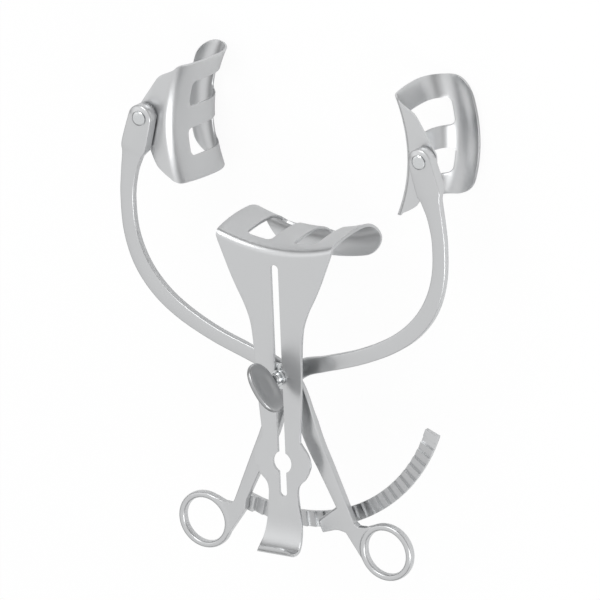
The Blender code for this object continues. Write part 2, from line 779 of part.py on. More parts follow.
def pivot_screw(name, material):
    """Rear head, smooth post through the arms and threaded stud for the thumb screw."""
    stud_top = NUT_TOP + STUD_LENGTH
    profile = (
        (PIVOT_HEAD_RADIUS - 1.4, 0.0),
        (PIVOT_HEAD_RADIUS, 1.2),
        (PIVOT_HEAD_RADIUS, HEAD_TOP),
        (POST_RADIUS, HEAD_TOP),
        (POST_RADIUS, NUT_TOP),
        (STUD_RADIUS, NUT_TOP),
        (STUD_RADIUS, stud_top - 0.5),
        (STUD_RADIUS - 0.5, stud_top),
    )
    return finish_mesh(name, turned(profile), material)


def hoop(profile, steps, centre):
    """Closed ring made by turning a closed section of radius and height."""
    bm = bmesh.new()
    rows = []
    for radius, height in profile:
        rows.append([bm.verts.new((x, y, height)) for x, y in circle(radius, centre, steps)])
    for index, row in enumerate(rows):
        following = rows[(index + 1) % len(rows)]
        for step in range(steps):
            after = (step + 1) % steps
            bm.faces.new((row[step], row[after], following[after], following[step]))
    return bm


def washer(name, material, inner, outer, low, high, centre=(0.0, 0.0)):
    """Flat ring with slightly broken outer edges."""
    edge = min(0.3, (high - low) / 4.0)
    profile = (
        (inner, low),
        (outer - edge, low),
        (outer, low + edge),
        (outer, high - edge),
        (outer - edge, high),
        (inner, high),
    )
    bm = hoop(profile, ROUND_STEPS, centre)
    return finish_mesh(name, bm, material, origin=(*centre, low))


def slide_block(name, material):
    """Flange under the shank with a flat-sided key that rides in the slot."""
    half_x = SLIDE_FLANGE_WIDTH / 2.0
    half_y = SLIDE_FLANGE_LENGTH / 2.0
    corners = ((-half_x, -half_y), (half_x, -half_y), (half_x, half_y), (-half_x, half_y))
    flange = rounded_outline([(x, y, 3.0) for x, y in corners])
    flange_top = FLANGE_LOW + SLIDE_FLANGE_THICKNESS
    obj = finish_mesh(name, prism(flange, FLANGE_LOW, flange_top), material)
    half_x = SLOT_WIDTH / 2.0 - RUNNING_GAP
    half_y = SLIDE_KEY_LENGTH / 2.0
    key = ((-half_x, -half_y), (half_x, -half_y), (half_x, half_y), (-half_x, half_y))
    combine(obj, prism(key, flange_top - 0.5, CENTRE_TOP - RUNNING_GAP), "UNION")
    drill(obj, STUD_RADIUS + RUNNING_GAP)
    return obj


def thumb_hub(name, material):
    """Turned collar of the thumb screw, bored for the stud."""
    top = HUB_LOW + HUB_HEIGHT
    profile = (
        (HUB_RADIUS - 0.6, HUB_LOW),
        (HUB_RADIUS, HUB_LOW + 0.6),
        (HUB_RADIUS, HUB_LOW + 2.2),
        (HUB_RADIUS - 0.8, HUB_LOW + 3.0),
        (HUB_RADIUS - 1.2, top - 0.8),
        (HUB_RADIUS - 2.0, top),
    )
    obj = finish_mesh(name, turned(profile), material, origin=(0.0, 0.0, HUB_LOW))
    drill(obj, STUD_RADIUS + RUNNING_GAP, high=NUT_TOP + STUD_LENGTH + RUNNING_GAP)
    return obj


def spade_half(level):
    """Half thickness of the thumb plate from its dished middle to its rim."""
    if level >= 1.0:
        return SPADE_EDGE
    dished = SPADE_THICKNESS / 2.0 - SPADE_DISH
    return dished + SPADE_DISH * smooth_step(level, SPADE_LEVELS[1], SPADE_LEVELS[3])


def thumb_spade(name, material):
    """Oval plate with a dished hollow on both sides, standing on the hub."""
    bm = bmesh.new()
    middle = SPADE_LOW + SPADE_HALF_HEIGHT
    rims = []
    for face in (1.0, -1.0):
        inner = [bm.verts.new((SPADE_OFFSET, face * spade_half(0.0), middle))] * SPADE_STEPS
        for level in SPADE_LEVELS[1:]:
            outer = []
            for x, y in circle(level, steps=SPADE_STEPS):
                out = face * spade_half(level)
                across = SPADE_OFFSET + SPADE_HALF_WIDTH * x
                place = (across, out, middle + SPADE_HALF_HEIGHT * y)
                outer.append(bm.verts.new(place))
            for step in range(SPADE_STEPS):
                after = (step + 1) % SPADE_STEPS
                corners = [inner[step], outer[step], outer[after], inner[after]]
                bm.faces.new(corners[:3] if inner[step] == inner[after] else corners)
            inner = outer
        rims.append(inner)
    for step in range(SPADE_STEPS):
        after = (step + 1) % SPADE_STEPS
        bm.faces.new((rims[0][step], rims[1][step], rims[1][after], rims[0][after]))
    turn = Matrix.Rotation(math.radians(SPADE_TURN), 4, "Z")
    bmesh.ops.transform(bm, matrix=turn, verts=bm.verts)
    return finish_mesh(name, bm, material, origin=(0.0, 0.0, SPADE_LOW))


def blade_pin(name, material, side, ear_top, rear):
    """Chamfered rivet through an ear and a blade plate, closed on the rear."""
    front = ear_top + RUNNING_GAP
    profile = (
        (TAIL_RADIUS - 1.6, rear - TAIL_HEIGHT),
        (TAIL_RADIUS, rear - TAIL_HEIGHT * 0.4),
        (TAIL_RADIUS, rear),
        (PIN_RADIUS, rear),
        (PIN_RADIUS, front),
        (PIN_HEAD_RADIUS, front),
        (PIN_HEAD_RADIUS, front + PIN_HEAD_HEIGHT - PIN_HEAD_CHAMFER),
        (PIN_HEAD_RADIUS - PIN_HEAD_CHAMFER, front + PIN_HEAD_HEIGHT),
    )
    centre = (side * PIN_X, PIN_Y)
    return finish_mesh(name, turned(profile, centre), material, origin=(*centre, ear_top))


def blade_mount(label, side, ear_top, sheet, turned_steel):
    """Side blade with the washers and the rivet that hold it under its ear."""
    centre = (side * PIN_X, PIN_Y)
    bore = PIN_RADIUS + RUNNING_GAP
    spring_top = ear_top - EAR_THICKNESS - RUNNING_GAP
    spring_low = spring_top - WASHER_THICKNESS
    plate_top = spring_low - RUNNING_GAP
    rear_top = plate_top - SHEET - RUNNING_GAP
    rear_low = rear_top - WASHER_THICKNESS
    outer = WASHER_RADIUS + 2.0
    washer(f"{label}_spring_washer", turned_steel, bore, outer, spring_low, spring_top, centre)
    side_blade(f"{label}_blade", sheet, side, plate_top)
    washer(f"{label}_rear_washer", turned_steel, bore, WASHER_RADIUS, rear_low, rear_top, centre)
    blade_pin(f"{label}_blade_pin", turned_steel, side, ear_top, rear_low - RUNNING_GAP)


def build():
    clear_scene()
    forged = steel("satin_forged_steel", 0.62, 0.34)
    sheet = steel("satin_sheet_steel", 0.60, 0.36)
    turned_steel = steel("polished_turned_steel", 0.66, 0.24)

    arm("left_arm", forged, LEFT_ARM_TOP, lap_above=True, mirror=True)
    arm("right_arm", forged, RIGHT_ARM_TOP, lap_above=False, mirror=False)
    ratchet_bar("ratchet_bar", forged)
    ratchet_rivet("ratchet_rivet_inner", turned_steel, -RIVET_SPREAD)
    ratchet_rivet("ratchet_rivet_outer", turned_steel, RIVET_SPREAD)

    bore = POST_RADIUS + RIVET_PLAY
    pivot_screw("pivot_screw", turned_steel)
    washer("pivot_nut", turned_steel, bore, NUT_RADIUS, NUT_LOW, NUT_TOP)
    slide_block("slide_block", turned_steel)
    centre_blade("centre_blade", sheet)
    bore = STUD_RADIUS + RUNNING_GAP
    clamp_top = CLAMP_LOW + CLAMP_THICKNESS
    washer("clamp_washer", turned_steel, bore, CLAMP_RADIUS, CLAMP_LOW, clamp_top)
    thumb_hub("thumb_hub", turned_steel)
    thumb_spade("thumb_spade", turned_steel)

    blade_mount("left", -1.0, LEFT_ARM_TOP, sheet, turned_steel)
    blade_mount("right", 1.0, RIGHT_ARM_TOP, sheet, turned_steel)


build()
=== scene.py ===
"""Looks of a self-retaining abdominal retractor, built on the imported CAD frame.

Sizes are in millimetres until a mesh is finished, where they become metres.
"""
import math

import bmesh
import bpy
from mathutils import Matrix, Vector


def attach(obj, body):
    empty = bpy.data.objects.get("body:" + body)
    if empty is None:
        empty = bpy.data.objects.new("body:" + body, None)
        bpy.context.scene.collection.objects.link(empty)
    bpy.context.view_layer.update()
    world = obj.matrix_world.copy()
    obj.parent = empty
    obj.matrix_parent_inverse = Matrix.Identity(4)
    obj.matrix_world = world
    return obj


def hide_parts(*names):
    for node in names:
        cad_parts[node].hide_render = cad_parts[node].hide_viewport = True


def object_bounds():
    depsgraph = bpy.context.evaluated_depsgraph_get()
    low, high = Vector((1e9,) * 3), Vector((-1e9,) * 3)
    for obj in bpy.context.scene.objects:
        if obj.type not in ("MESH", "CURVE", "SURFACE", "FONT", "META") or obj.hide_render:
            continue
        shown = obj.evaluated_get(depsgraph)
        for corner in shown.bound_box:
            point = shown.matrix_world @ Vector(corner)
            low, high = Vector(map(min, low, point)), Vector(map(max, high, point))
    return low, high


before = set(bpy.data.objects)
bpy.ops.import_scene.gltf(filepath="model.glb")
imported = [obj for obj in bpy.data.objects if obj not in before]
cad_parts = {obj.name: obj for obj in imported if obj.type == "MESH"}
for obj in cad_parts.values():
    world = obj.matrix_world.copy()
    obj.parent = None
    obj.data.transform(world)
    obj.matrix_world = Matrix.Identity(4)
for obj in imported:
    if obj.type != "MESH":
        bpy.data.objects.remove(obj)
cad_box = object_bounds()
MM = 0.001


# The two forged arms
# Each is one drop forging from the blade's ear past the lap joint to the finger ring,
# of stainless steel, ground and glass-bead blasted, so that it is satin all over.
GAP = 0.3
BAR = 6.4
RIGHT_LOW = 2.9
RIGHT_TOP = RIGHT_LOW + BAR
LEFT_TOP = RIGHT_TOP + 4.0
LAP_HEIGHT = RIGHT_TOP - 1.2
LAP_REACH = 34.0
LAP_RAMP = 14.0
PIN_X = 137.5
PIN_Y = 203.2
EAR_THICKNESS = 10.4
EAR_RADIUS = 11.0
EAR_REACH = 28.0
EAR_STEP = 2.4
PIVOT_BORE = 4.1
PIN_BORE = 3.7
CUTTER_REACH = 40.0
EDGE_ROUND = 1.0
ROUND_STEPS = 96
# Right-hand arm from the ear to the left handle: x, y and width of the bar
ARM_STATIONS = (
    (PIN_X, PIN_Y, 22.0),
    (PIN_X + 7.4, PIN_Y - 25.5, 23.6),
    (PIN_X + 9.7, PIN_Y - 34.0, 18.6),
    (PIN_X + 13.4, PIN_Y - 49.0, 14.6),
    (153.5, 132.0, 12.7),
    (151.6, 103.0, 13.0),
    (142.6, 77.0, 14.2),
    (126.5, 55.8, 14.4),
    (104.0, 38.8, 13.8),
    (72.0, 23.6, 12.9),
    (36.0, 11.8, 13.2),
    (12.0, 4.2, 15.6),
    (-6.6, -12.0, 18.0),
    (-22.8, -54.8, 16.4),
    (-35.3, -80.3, 13.8),
    (-47.4, -105.3, 11.6),
    (-59.4, -130.5, 10.0),
)
RING_X = 91.5
RING_Y = -143.8
RING_RADIUS = 21.9
RING_OVAL = 1.04
RING_WIDE = 2.9
RING_HIGH = 4.0
RING_SQUARENESS = 2.8
# Where the web's outline follows the inside of the ring, in degrees
RING_JOIN = (125.0, 198.0)
FORK_OUTER = (
    (52.0, -106.0),
    (57.0, -115.0),
    (61.0, -122.5),
    (65.0, -125.3),
    (72.0, -124.9),
    (80.5, -121.6),
)
FORK_INNER = ((68.5, -153.5), (61.5, -144.0), (54.5, -134.5), (50.3, -128.5), (46.5, -108.0))
CATCH_TOP = ((50.0, -106.0), (25.1, -124.7))
CATCH_BOTTOM = ((29.7, -135.3), (44.0, -130.6), (58.0, -133.0))
CATCH_ROUNDS = (0.0, 1.0, 1.0, 14.0, 0.0)
CATCH_DEPTH = 5.5
CATCH_BEVEL = 1.8
CATCH_CHAMFER = (1.0, -1.5)
PAWL = ((29.0, -124.0), (31.0, -132.0), (38.5, -130.0), (37.5, -119.5))
PAWL_LOW = 0.7
# The handle's last stretch is blended into the ring. It overlaps the rest of the bar
# by a few sections and lies a hair lower, so that no two faces share a plane.
BLEND_FROM = 148
BAR_TO = 152
BLEND_DROP = 0.05
FORGING_VOXEL = 0.42
GRINDING_PASSES = 7
CREASE_ANGLE = 50.0
# The satin finish: size of the clouds in its sheen, and how much they change it
SHEEN_CLOUD = 25.0
SHEEN_SPREAD = 0.03


def linear(code):
    """Linear colour with alpha from an sRGB hex code."""
    channels = []
    for index in (0, 2, 4):
        value = int(code[index:index + 2], 16) / 255.0
        dark = value / 12.92
        bright = ((value + 0.055) / 1.055) ** 2.4
        channels.append(dark if value <= 0.04045 else bright)
    return (*channels, 1.0)


def add_node(tree, kind, settings=None, values=None, links=()):
    """Node with its settings, input values and links from (node, output) to an input."""
    node = tree.nodes.new(kind)
    for key, value in (settings or {}).items():
        setattr(node, key, value)
    for key, value in (values or {}).items():
        node.inputs[key].default_value = value
    for source, output, target in links:
        tree.links.new(source.outputs[output], node.inputs[target])
    return node


def stainless_steel(name, colour, roughness, grain_mm, relief_mm):
    """Stainless steel with an even sheen and a very fine, shallow grain."""
    material = bpy.data.materials.new(name)
    material.use_nodes = True
    tree = material.node_tree
    shader = tree.nodes["Principled BSDF"]
    shader.inputs["Base Color"].default_value = linear(colour)
    shader.inputs["Metallic"].default_value = 1.0
    place = add_node(tree, "ShaderNodeTexCoord")
    # Cloudy change of sheen, as hand finishing leaves it
    clouds = add_node(
        tree,
        "ShaderNodeTexNoise",
        values={"Scale": 1.0 / (SHEEN_CLOUD * MM), "Detail": 3.0},
        links=[(place, "Object", "Vector")],
    )
    sheen = add_node(
        tree,
        "ShaderNodeMapRange",
        values={
            "From Min": 0.3,
            "From Max": 0.7,
            "To Min": roughness - SHEEN_SPREAD,
            "To Max": roughness + SHEEN_SPREAD,
        },
        links=[(clouds, "Fac", "Value")],
    )
    tree.links.new(sheen.outputs["Result"], shader.inputs["Roughness"])
    # The real grain is under 0.1 mm; it is drawn coarser so that it can show
    grain = add_node(
        tree,
        "ShaderNodeTexNoise",
        values={"Scale": 1.0 / (grain_mm * MM), "Detail": 4.0, "Roughness": 0.6},
        links=[(place, "Object", "Vector")],
    )
    bump = add_node(
        tree,
        "ShaderNodeBump",
        values={"Strength": 0.35, "Distance": relief_mm * MM},
        links=[(grain, "Fac", "Height")],
    )
    tree.links.new(bump.outputs["Normal"], shader.inputs["Normal"])
    return material


forged_steel = stainless_steel("bead_blasted_forging", "C9CACB", 0.32, 0.9, 0.02)


def finish_piece(name, bm, material, sharp=None):
    """Put a millimetre mesh into the scene in metres; edges past the angle stay sharp."""
    bmesh.ops.remove_doubles(bm, verts=bm.verts, dist=0.0005)
    bmesh.ops.recalc_face_normals(bm, faces=bm.faces)
    bmesh.ops.scale(bm, vec=(MM, MM, MM), verts=bm.verts)
    mesh = bpy.data.meshes.new(name)
    bm.to_mesh(mesh)
    bm.free()
    mesh.shade_smooth()
    if sharp is not None:
        mesh.set_sharp_from_angle(angle=math.radians(sharp))
    mesh.materials.append(material)
    piece = bpy.data.objects.new(name, mesh)
    bpy.context.collection.objects.link(piece)
    return piece


def apply_modifiers(piece):
    """Freeze a piece's modifiers into a plain mesh."""
    graph = bpy.context.evaluated_depsgraph_get()
    mesh = bpy.data.meshes.new_from_object(piece.evaluated_get(graph))
    piece.modifiers.clear()
    piece.data = mesh


def combine(piece, other, operation="UNION"):
    """Unite a piece with another, or cut the other out of it; the other is used up."""
    modifier = piece.modifiers.new("combine", "BOOLEAN")
    modifier.operation = operation
    modifier.solver = "EXACT"
    modifier.object = other
    apply_modifiers(piece)
    bpy.data.objects.remove(other, do_unlink=True)


def fuse(piece, bm):
    """Unite a piece with a millimetre shape."""
    combine(piece, finish_piece("fused_shape", bm, piece.data.materials[0]))


def bore(piece, radius, centre=(0.0, 0.0)):
    """Drill an upright hole right through a piece."""
    bm = turned(((radius, -CUTTER_REACH), (radius, CUTTER_REACH)), centre)
    combine(piece, finish_piece("drill", bm, piece.data.materials[0]), "DIFFERENCE")


def loft(rings, closed=False):
    """Skin through rings of equal length, capped unless the last ring joins the first."""
    bm = bmesh.new()
    rows = [[bm.verts.new(point) for point in ring] for ring in rings]
    pairs = list(zip(rows, rows[1:]))
    if closed:
        pairs.append((rows[-1], rows[0]))
    for low, high in pairs:
        for index in range(len(low)):
            after = (index + 1) % len(low)
            bm.faces.new((low[index], low[after], high[after], high[index]))
    if not closed:
        bm.faces.new(list(reversed(rows[0])))
        bm.faces.new(rows[-1])
    return bm


def arc_points(radius, first, last, steps, centre=(0.0, 0.0)):
    """Points along an arc between two angles in degrees."""
    points = []
    for step in range(steps + 1):
        angle = math.radians(first + (last - first) * step / steps)
        points.append((centre[0] + radius * math.cos(angle), centre[1] + radius * math.sin(angle)))
    return points


def turned(profile, centre=(0.0, 0.0), closed=False):
    """Solid of revolution about a vertical axis from a profile of radius and height."""
    rings = []
    for radius, height in profile:
        ring = arc_points(radius, 0.0, 360.0, ROUND_STEPS, centre)[:-1]
        rings.append([(x, y, height) for x, y in ring])
    return loft(rings, closed)


def prism(outline, low, high):
    """Upright solid of one outline between two heights."""
    return loft([[(x, y, low) for x, y in outline], [(x, y, high) for x, y in outline]])


def mirrored(bm):
    """The same shape for the other hand."""
    bmesh.ops.scale(bm, vec=(-1.0, 1.0, 1.0), verts=bm.verts)
    return bm


def smooth_curve(stations, samples):
    """Curve through the stations, each of their values blended in the same way."""
    result = []
    for index in range(len(stations) - 1):
        before = stations[max(index - 1, 0)]
        after = stations[min(index + 2, len(stations) - 1)]
        for step in range(samples):
            t = step / samples
            point = []
            for a, b, c, d in zip(before, stations[index], stations[index + 1], after):
                square = 2.0 * a - 5.0 * b + 4.0 * c - d
                cube = 3.0 * b - a - 3.0 * c + d
                point.append(0.5 * (2.0 * b + (c - a) * t + square * t * t + cube * t ** 3))
            result.append(point)
    result.append(list(stations[-1]))
    return result


def smooth_step(value, low, high):
    """Soft change from 0 at the low value to 1 at the high one."""
    t = min(max((value - low) / (high - low), 0.0), 1.0)
    return t * t * (3.0 - 2.0 * t)


def rounded_outline(corners, steps):
    """Closed outline from corners given as x, y and corner radius."""
    outline = []
    for index, (x, y, radius) in enumerate(corners):
        if radius <= 0.0:
            outline.append((x, y))
            continue
        corner = Vector((x, y))
        to_before = (Vector(corners[index - 1][:2]) - corner).normalized()
        to_after = (Vector(corners[(index + 1) % len(corners)][:2]) - corner).normalized()
        half = to_before.angle(to_after) / 2.0
        centre = corner + (to_before + to_after).normalized() * radius / math.sin(half)
        start = corner + to_before * radius / math.tan(half) - centre
        end = corner + to_after * radius / math.tan(half) - centre
        first = math.degrees(math.atan2(start.y, start.x))
        last = math.degrees(math.atan2(end.y, end.x))
        swing = (last - first + 180.0) % 360.0 - 180.0
        outline += arc_points(radius, first, first + swing, steps, centre)
    return outline


def bar_ring(x, y, normal, width, low, high):
    """Cross-section of a bar with rounded edges, standing across its run."""
    half = width / 2.0
    corners = (
        (half, low, EDGE_ROUND),
        (half, high, EDGE_ROUND),
        (-half, high, EDGE_ROUND),
        (-half, low, EDGE_ROUND),
    )
    section = rounded_outline(corners, 3)
    return [(x + normal[0] * side, y + normal[1] * side, z) for side, z in section]


def arm_bar(top, lap_above, first, last):
    """Stretch of an arm's bar, thinned at the lap joint and thicker to the rear at the ear."""
    line = smooth_curve(ARM_STATIONS, 10)
    lengths = [0.0]
    for previous, point in zip(line, line[1:]):
        lengths.append(lengths[-1] + math.dist(previous[:2], point[:2]))
    nearest = min(range(len(line)), key=lambda i: math.hypot(line[i][0], line[i][1]))
    rings = []
    for index in range(len(line))[first:last]:
        x, y, width = line[index]
        ahead = line[min(index + 1, len(line) - 1)]
        behind = line[max(index - 1, 0)]
        run = math.dist(behind[:2], ahead[:2])
        normal = ((ahead[1] - behind[1]) / run, -(ahead[0] - behind[0]) / run)
        distance = abs(lengths[index] - lengths[nearest])
        thin = 1.0 - smooth_step(distance, LAP_REACH, LAP_REACH + LAP_RAMP)
        thick = 1.0 - smooth_step(lengths[index], EAR_REACH, EAR_REACH + EAR_STEP)
        low = top - BAR
        high = top
        if lap_above:
            low += thin * (LAP_HEIGHT + GAP / 2.0 - low)
        else:
            high += thin * (LAP_HEIGHT - GAP / 2.0 - high)
        low -= thick * (EAR_THICKNESS - BAR)
        rings.append(bar_ring(x, y, normal, width, low, high))
    return loft(rings)


def squared(value, power):
    """Sine or cosine drawn out, so that an oval becomes a rounded rectangle."""
    return math.copysign(abs(value) ** (2.0 / power), value)


def finger_ring(side, height):
    """Ring for a finger, a band that is deeper than it is wide."""
    profile = []
    for x, y in arc_points(1.0, 0.0, 360.0, 24)[:-1]:
        radius = RING_RADIUS + RING_WIDE * squared(x, RING_SQUARENESS)
        profile.append((radius, height + RING_HIGH * squared(y, RING_SQUARENESS)))
    bm = turned(profile, closed=True)
    bmesh.ops.scale(bm, vec=(RING_OVAL, 1.0, 1.0), verts=bm.verts)
    bmesh.ops.translate(bm, vec=(side * RING_X, RING_Y, 0.0), verts=bm.verts)
    return bm


def handle_web(top):
    """Web between a right-hand handle and its ring, flush with the handle."""
    arc = arc_points(RING_RADIUS, *RING_JOIN, 8, (RING_X, RING_Y))
    return prism(list(FORK_OUTER) + arc + list(FORK_INNER), top - BAR, top)


def catch_tab(top):
    """Tab of the right handle in front of the ratchet bar, with a bevelled upper edge."""
    rings = []
    for level, bevel in ((top - CATCH_DEPTH, 0.0), (top - CATCH_BEVEL, 0.0), (top, 1.0)):
        corners = []
        for x, y in CATCH_TOP:
            corners.append((x + bevel * CATCH_CHAMFER[0], y + bevel * CATCH_CHAMFER[1]))
        corners += CATCH_BOTTOM
        rounded = [(*corner, radius) for corner, radius in zip(corners, CATCH_ROUNDS)]
        rings.append([(x, y, level) for x, y in rounded_outline(rounded, 8)])
    return loft(rings)


def forge(piece):
    """Blend the joins of a piece into one skin, as the die and the grinding leave it."""
    modifier = piece.modifiers.new("skin", "REMESH")
    modifier.mode = "VOXEL"
    modifier.voxel_size = FORGING_VOXEL * MM
    modifier.use_smooth_shade = True
    modifier = piece.modifiers.new("grind", "SMOOTH")
    modifier.factor = 0.5
    modifier.iterations = GRINDING_PASSES
    apply_modifiers(piece)


def handle_end(top, mirror):
    """Last stretch of a handle with its web and ring, and with the catch on one arm."""
    bm = arm_bar(top - BLEND_DROP, mirror, BLEND_FROM, None)
    piece = finish_piece("handle_end", mirrored(bm) if mirror else bm, forged_steel)
    web = handle_web(top)
    fuse(piece, web if mirror else mirrored(web))
    if mirror:
        fuse(piece, catch_tab(top))
        # The pawl under the tab rests in the ratchet's teeth
        fuse(piece, prism(PAWL, PAWL_LOW, top - BAR / 2.0))
    fuse(piece, finger_ring(1.0 if mirror else -1.0, top - BAR / 2.0))
    forge(piece)
    return piece


def arm(name, node, top, mirror):
    """One whole arm; the mirrored one carries the catch of the ratchet."""
    bm = arm_bar(top, mirror, 0, BAR_TO)
    piece = finish_piece(name, mirrored(bm) if mirror else bm, forged_steel)
    low = top - EAR_THICKNESS
    pin = (-PIN_X if mirror else PIN_X, PIN_Y)
    lobe = (
        (EAR_RADIUS - EDGE_ROUND, low),
        (EAR_RADIUS, low + EDGE_ROUND),
        (EAR_RADIUS, top - EDGE_ROUND),
        (EAR_RADIUS - EDGE_ROUND, top),
    )
    fuse(piece, turned(lobe, pin))
    bore(piece, PIVOT_BORE)
    bore(piece, PIN_BORE, pin)
    combine(piece, handle_end(top, mirror))
    piece.data.shade_smooth()
    piece.data.set_sharp_from_angle(angle=math.radians(CREASE_ANGLE))
    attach(piece, node)
    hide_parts(node)


arm("left_arm_forging", "left_arm", LEFT_TOP, mirror=True)
arm("right_arm_forging", "right_arm", RIGHT_TOP, mirror=False)


# Ratchet bar
# A steel bar bent to an arc, somewhat flatter than a circle about the pivot, and riveted
# under the left handle. Saw teeth are milled across its front, in which the catch rests.
RATCHET_CENTRE = (-5.5, 17.9)
RATCHET_RADIUS = 149.24
RATCHET_WIDTH = 13.4
RATCHET_THICKNESS = 4.6
RATCHET_HEEL = 2.2
RATCHET_TOP = RIGHT_LOW - GAP - RATCHET_HEEL
RATCHET_LOW = RATCHET_TOP - RATCHET_THICKNESS
CAP_DROP = 0.3
TOOTH_PITCH = 8.6
TOOTH_HEIGHT = 1.6
TOOTH_ROOT = 1.0
TOOTH_INSET = 0.3
# Share of the pitch that a tooth fills
TOOTH_FILL = 0.9
# Angles along the arc in degrees, from straight below its centre towards the right
RATCHET_FIRST = -21.7
RATCHET_LAST = 68.7
HEEL_SPAN = 6.1
CAP_SPAN = 2.6
SHOULDER_SPAN = 0.1
TOOTH_START = 0.2


def ratchet_point(degrees, spread):
    """Point at an angle along the bar and at a distance outside its middle line."""
    turn = math.radians(degrees)
    radius = RATCHET_RADIUS + spread
    x = RATCHET_CENTRE[0] + radius * math.sin(turn)
    y = RATCHET_CENTRE[1] - radius * math.cos(turn)
    return x, y


def ratchet_ring(degrees, top):
    """Cross-section of the bar at an angle along it."""
    inner = ratchet_point(degrees, -RATCHET_WIDTH / 2.0)
    outer = ratchet_point(degrees, RATCHET_WIDTH / 2.0)
    return [(*inner, RATCHET_LOW), (*outer, RATCHET_LOW), (*outer, top), (*inner, top)]


def ratchet_strip():
    """Plain bar with a raised heel under the handle and a plain cap at its free end."""
    root = RATCHET_TOP - TOOTH_HEIGHT
    heel_end = RATCHET_FIRST + HEEL_SPAN
    cap = RATCHET_LAST - CAP_SPAN
    rings = []
    for first, last, top, steps in (
        (RATCHET_FIRST, heel_end, RATCHET_TOP + RATCHET_HEEL, 6),
        (heel_end + SHOULDER_SPAN, cap - SHOULDER_SPAN, root, 90),
        (cap, RATCHET_LAST, RATCHET_TOP - CAP_DROP, 6),
    ):
        for step in range(steps + 1):
            rings.append(ratchet_ring(first + (last - first) * step / steps, top))
    return loft(rings)


def tooth_tree():
    """Geometry nodes that set sloping teeth one after another along an arc."""
    tree = bpy.data.node_groups.new("saw_teeth", "GeometryNodeTree")
    face = tree.interface
    for name in ("Radius", "First Angle", "Step Angle", "Length", "Width", "Depth", "Rise"):
        face.new_socket(name, in_out="INPUT", socket_type="NodeSocketFloat")
    face.new_socket("Count", in_out="INPUT", socket_type="NodeSocketInt")
    face.new_socket("Centre", in_out="INPUT", socket_type="NodeSocketVector")
    face.new_socket("Material", in_out="INPUT", socket_type="NodeSocketMaterial")
    face.new_socket("Geometry", in_out="OUTPUT", socket_type="NodeSocketGeometry")
    given = add_node(tree, "NodeGroupInput")

    # Each point of a line goes to its own angle on the arc
    line = add_node(tree, "GeometryNodeMeshLine", links=[(given, "Count", "Count")])
    index = add_node(tree, "GeometryNodeInputIndex")
    angle = add_node(
        tree,
        "ShaderNodeMath",
        settings={"operation": "MULTIPLY_ADD"},
        links=[(index, "Index", 0), (given, "Step Angle", 1), (given, "First Angle", 2)],
    )
    below = add_node(
        tree,
        "ShaderNodeMath",
        settings={"operation": "MULTIPLY"},
        values={1: -1.0},
        links=[(given, "Radius", 0)],
    )
    spoke = add_node(tree, "ShaderNodeCombineXYZ", links=[(below, "Value", "Y")])
    swing = add_node(
        tree,
        "ShaderNodeVectorRotate",
        settings={"rotation_type": "Z_AXIS"},
        links=[(spoke, "Vector", "Vector"), (angle, "Value", "Angle")],
    )
    place = add_node(
        tree,
        "ShaderNodeVectorMath",
        settings={"operation": "ADD"},
        links=[(swing, "Vector", 0), (given, "Centre", 1)],
    )
    points = add_node(
        tree,
        "GeometryNodeSetPosition",
        links=[(line, "Mesh", "Geometry"), (place, "Vector", "Position")],
    )

    # One tooth: a block whose top slopes down to its trailing end
    size = add_node(
        tree,
        "ShaderNodeCombineXYZ",
        links=[(given, "Length", "X"), (given, "Width", "Y"), (given, "Depth", "Z")],
    )
    block = add_node(tree, "GeometryNodeMeshCube", links=[(size, "Vector", "Size")])
    position = add_node(tree, "GeometryNodeInputPosition")
    parts = add_node(tree, "ShaderNodeSeparateXYZ", links=[(position, "Position", "Vector")])
    trailing = add_node(
        tree,
        "ShaderNodeMath",
        settings={"operation": "LESS_THAN"},
        values={1: 0.0},
        links=[(parts, "X", 0)],
    )
    upper = add_node(
        tree,
        "ShaderNodeMath",
        settings={"operation": "GREATER_THAN"},
        values={1: 0.0},
        links=[(parts, "Z", 0)],
    )
    chosen = add_node(
        tree,
        "ShaderNodeMath",
        settings={"operation": "MULTIPLY"},
        links=[(trailing, "Value", 0), (upper, "Value", 1)],
    )
    sink = add_node(
        tree,
        "ShaderNodeMath",
        settings={"operation": "MULTIPLY"},
        values={1: -1.0},
        links=[(given, "Rise", 0)],
    )
    lowering = add_node(tree, "ShaderNodeCombineXYZ", links=[(sink, "Value", "Z")])
    tooth = add_node(
        tree,
        "GeometryNodeSetPosition",
        links=[
            (block, "Mesh", "Geometry"),
            (chosen, "Value", "Selection"),
            (lowering, "Vector", "Offset"),
        ],
    )

    heading = add_node(tree, "ShaderNodeCombineXYZ", links=[(angle, "Value", "Z")])
    rotation = add_node(
        tree, "FunctionNodeEulerToRotation", links=[(heading, "Vector", "Euler")]
    )
    teeth = add_node(
        tree,
        "GeometryNodeInstanceOnPoints",
        links=[
            (points, "Geometry", "Points"),
            (tooth, "Geometry", "Instance"),
            (rotation, "Rotation", "Rotation"),
        ],
    )
    real = add_node(tree, "GeometryNodeRealizeInstances", links=[(teeth, "Instances", "Geometry")])
    painted = add_node(
        tree,
        "GeometryNodeSetMaterial",
        links=[(real, "Geometry", "Geometry"), (given, "Material", "Material")],
    )
    add_node(tree, "NodeGroupOutput", links=[(painted, "Geometry", "Geometry")])
    return tree


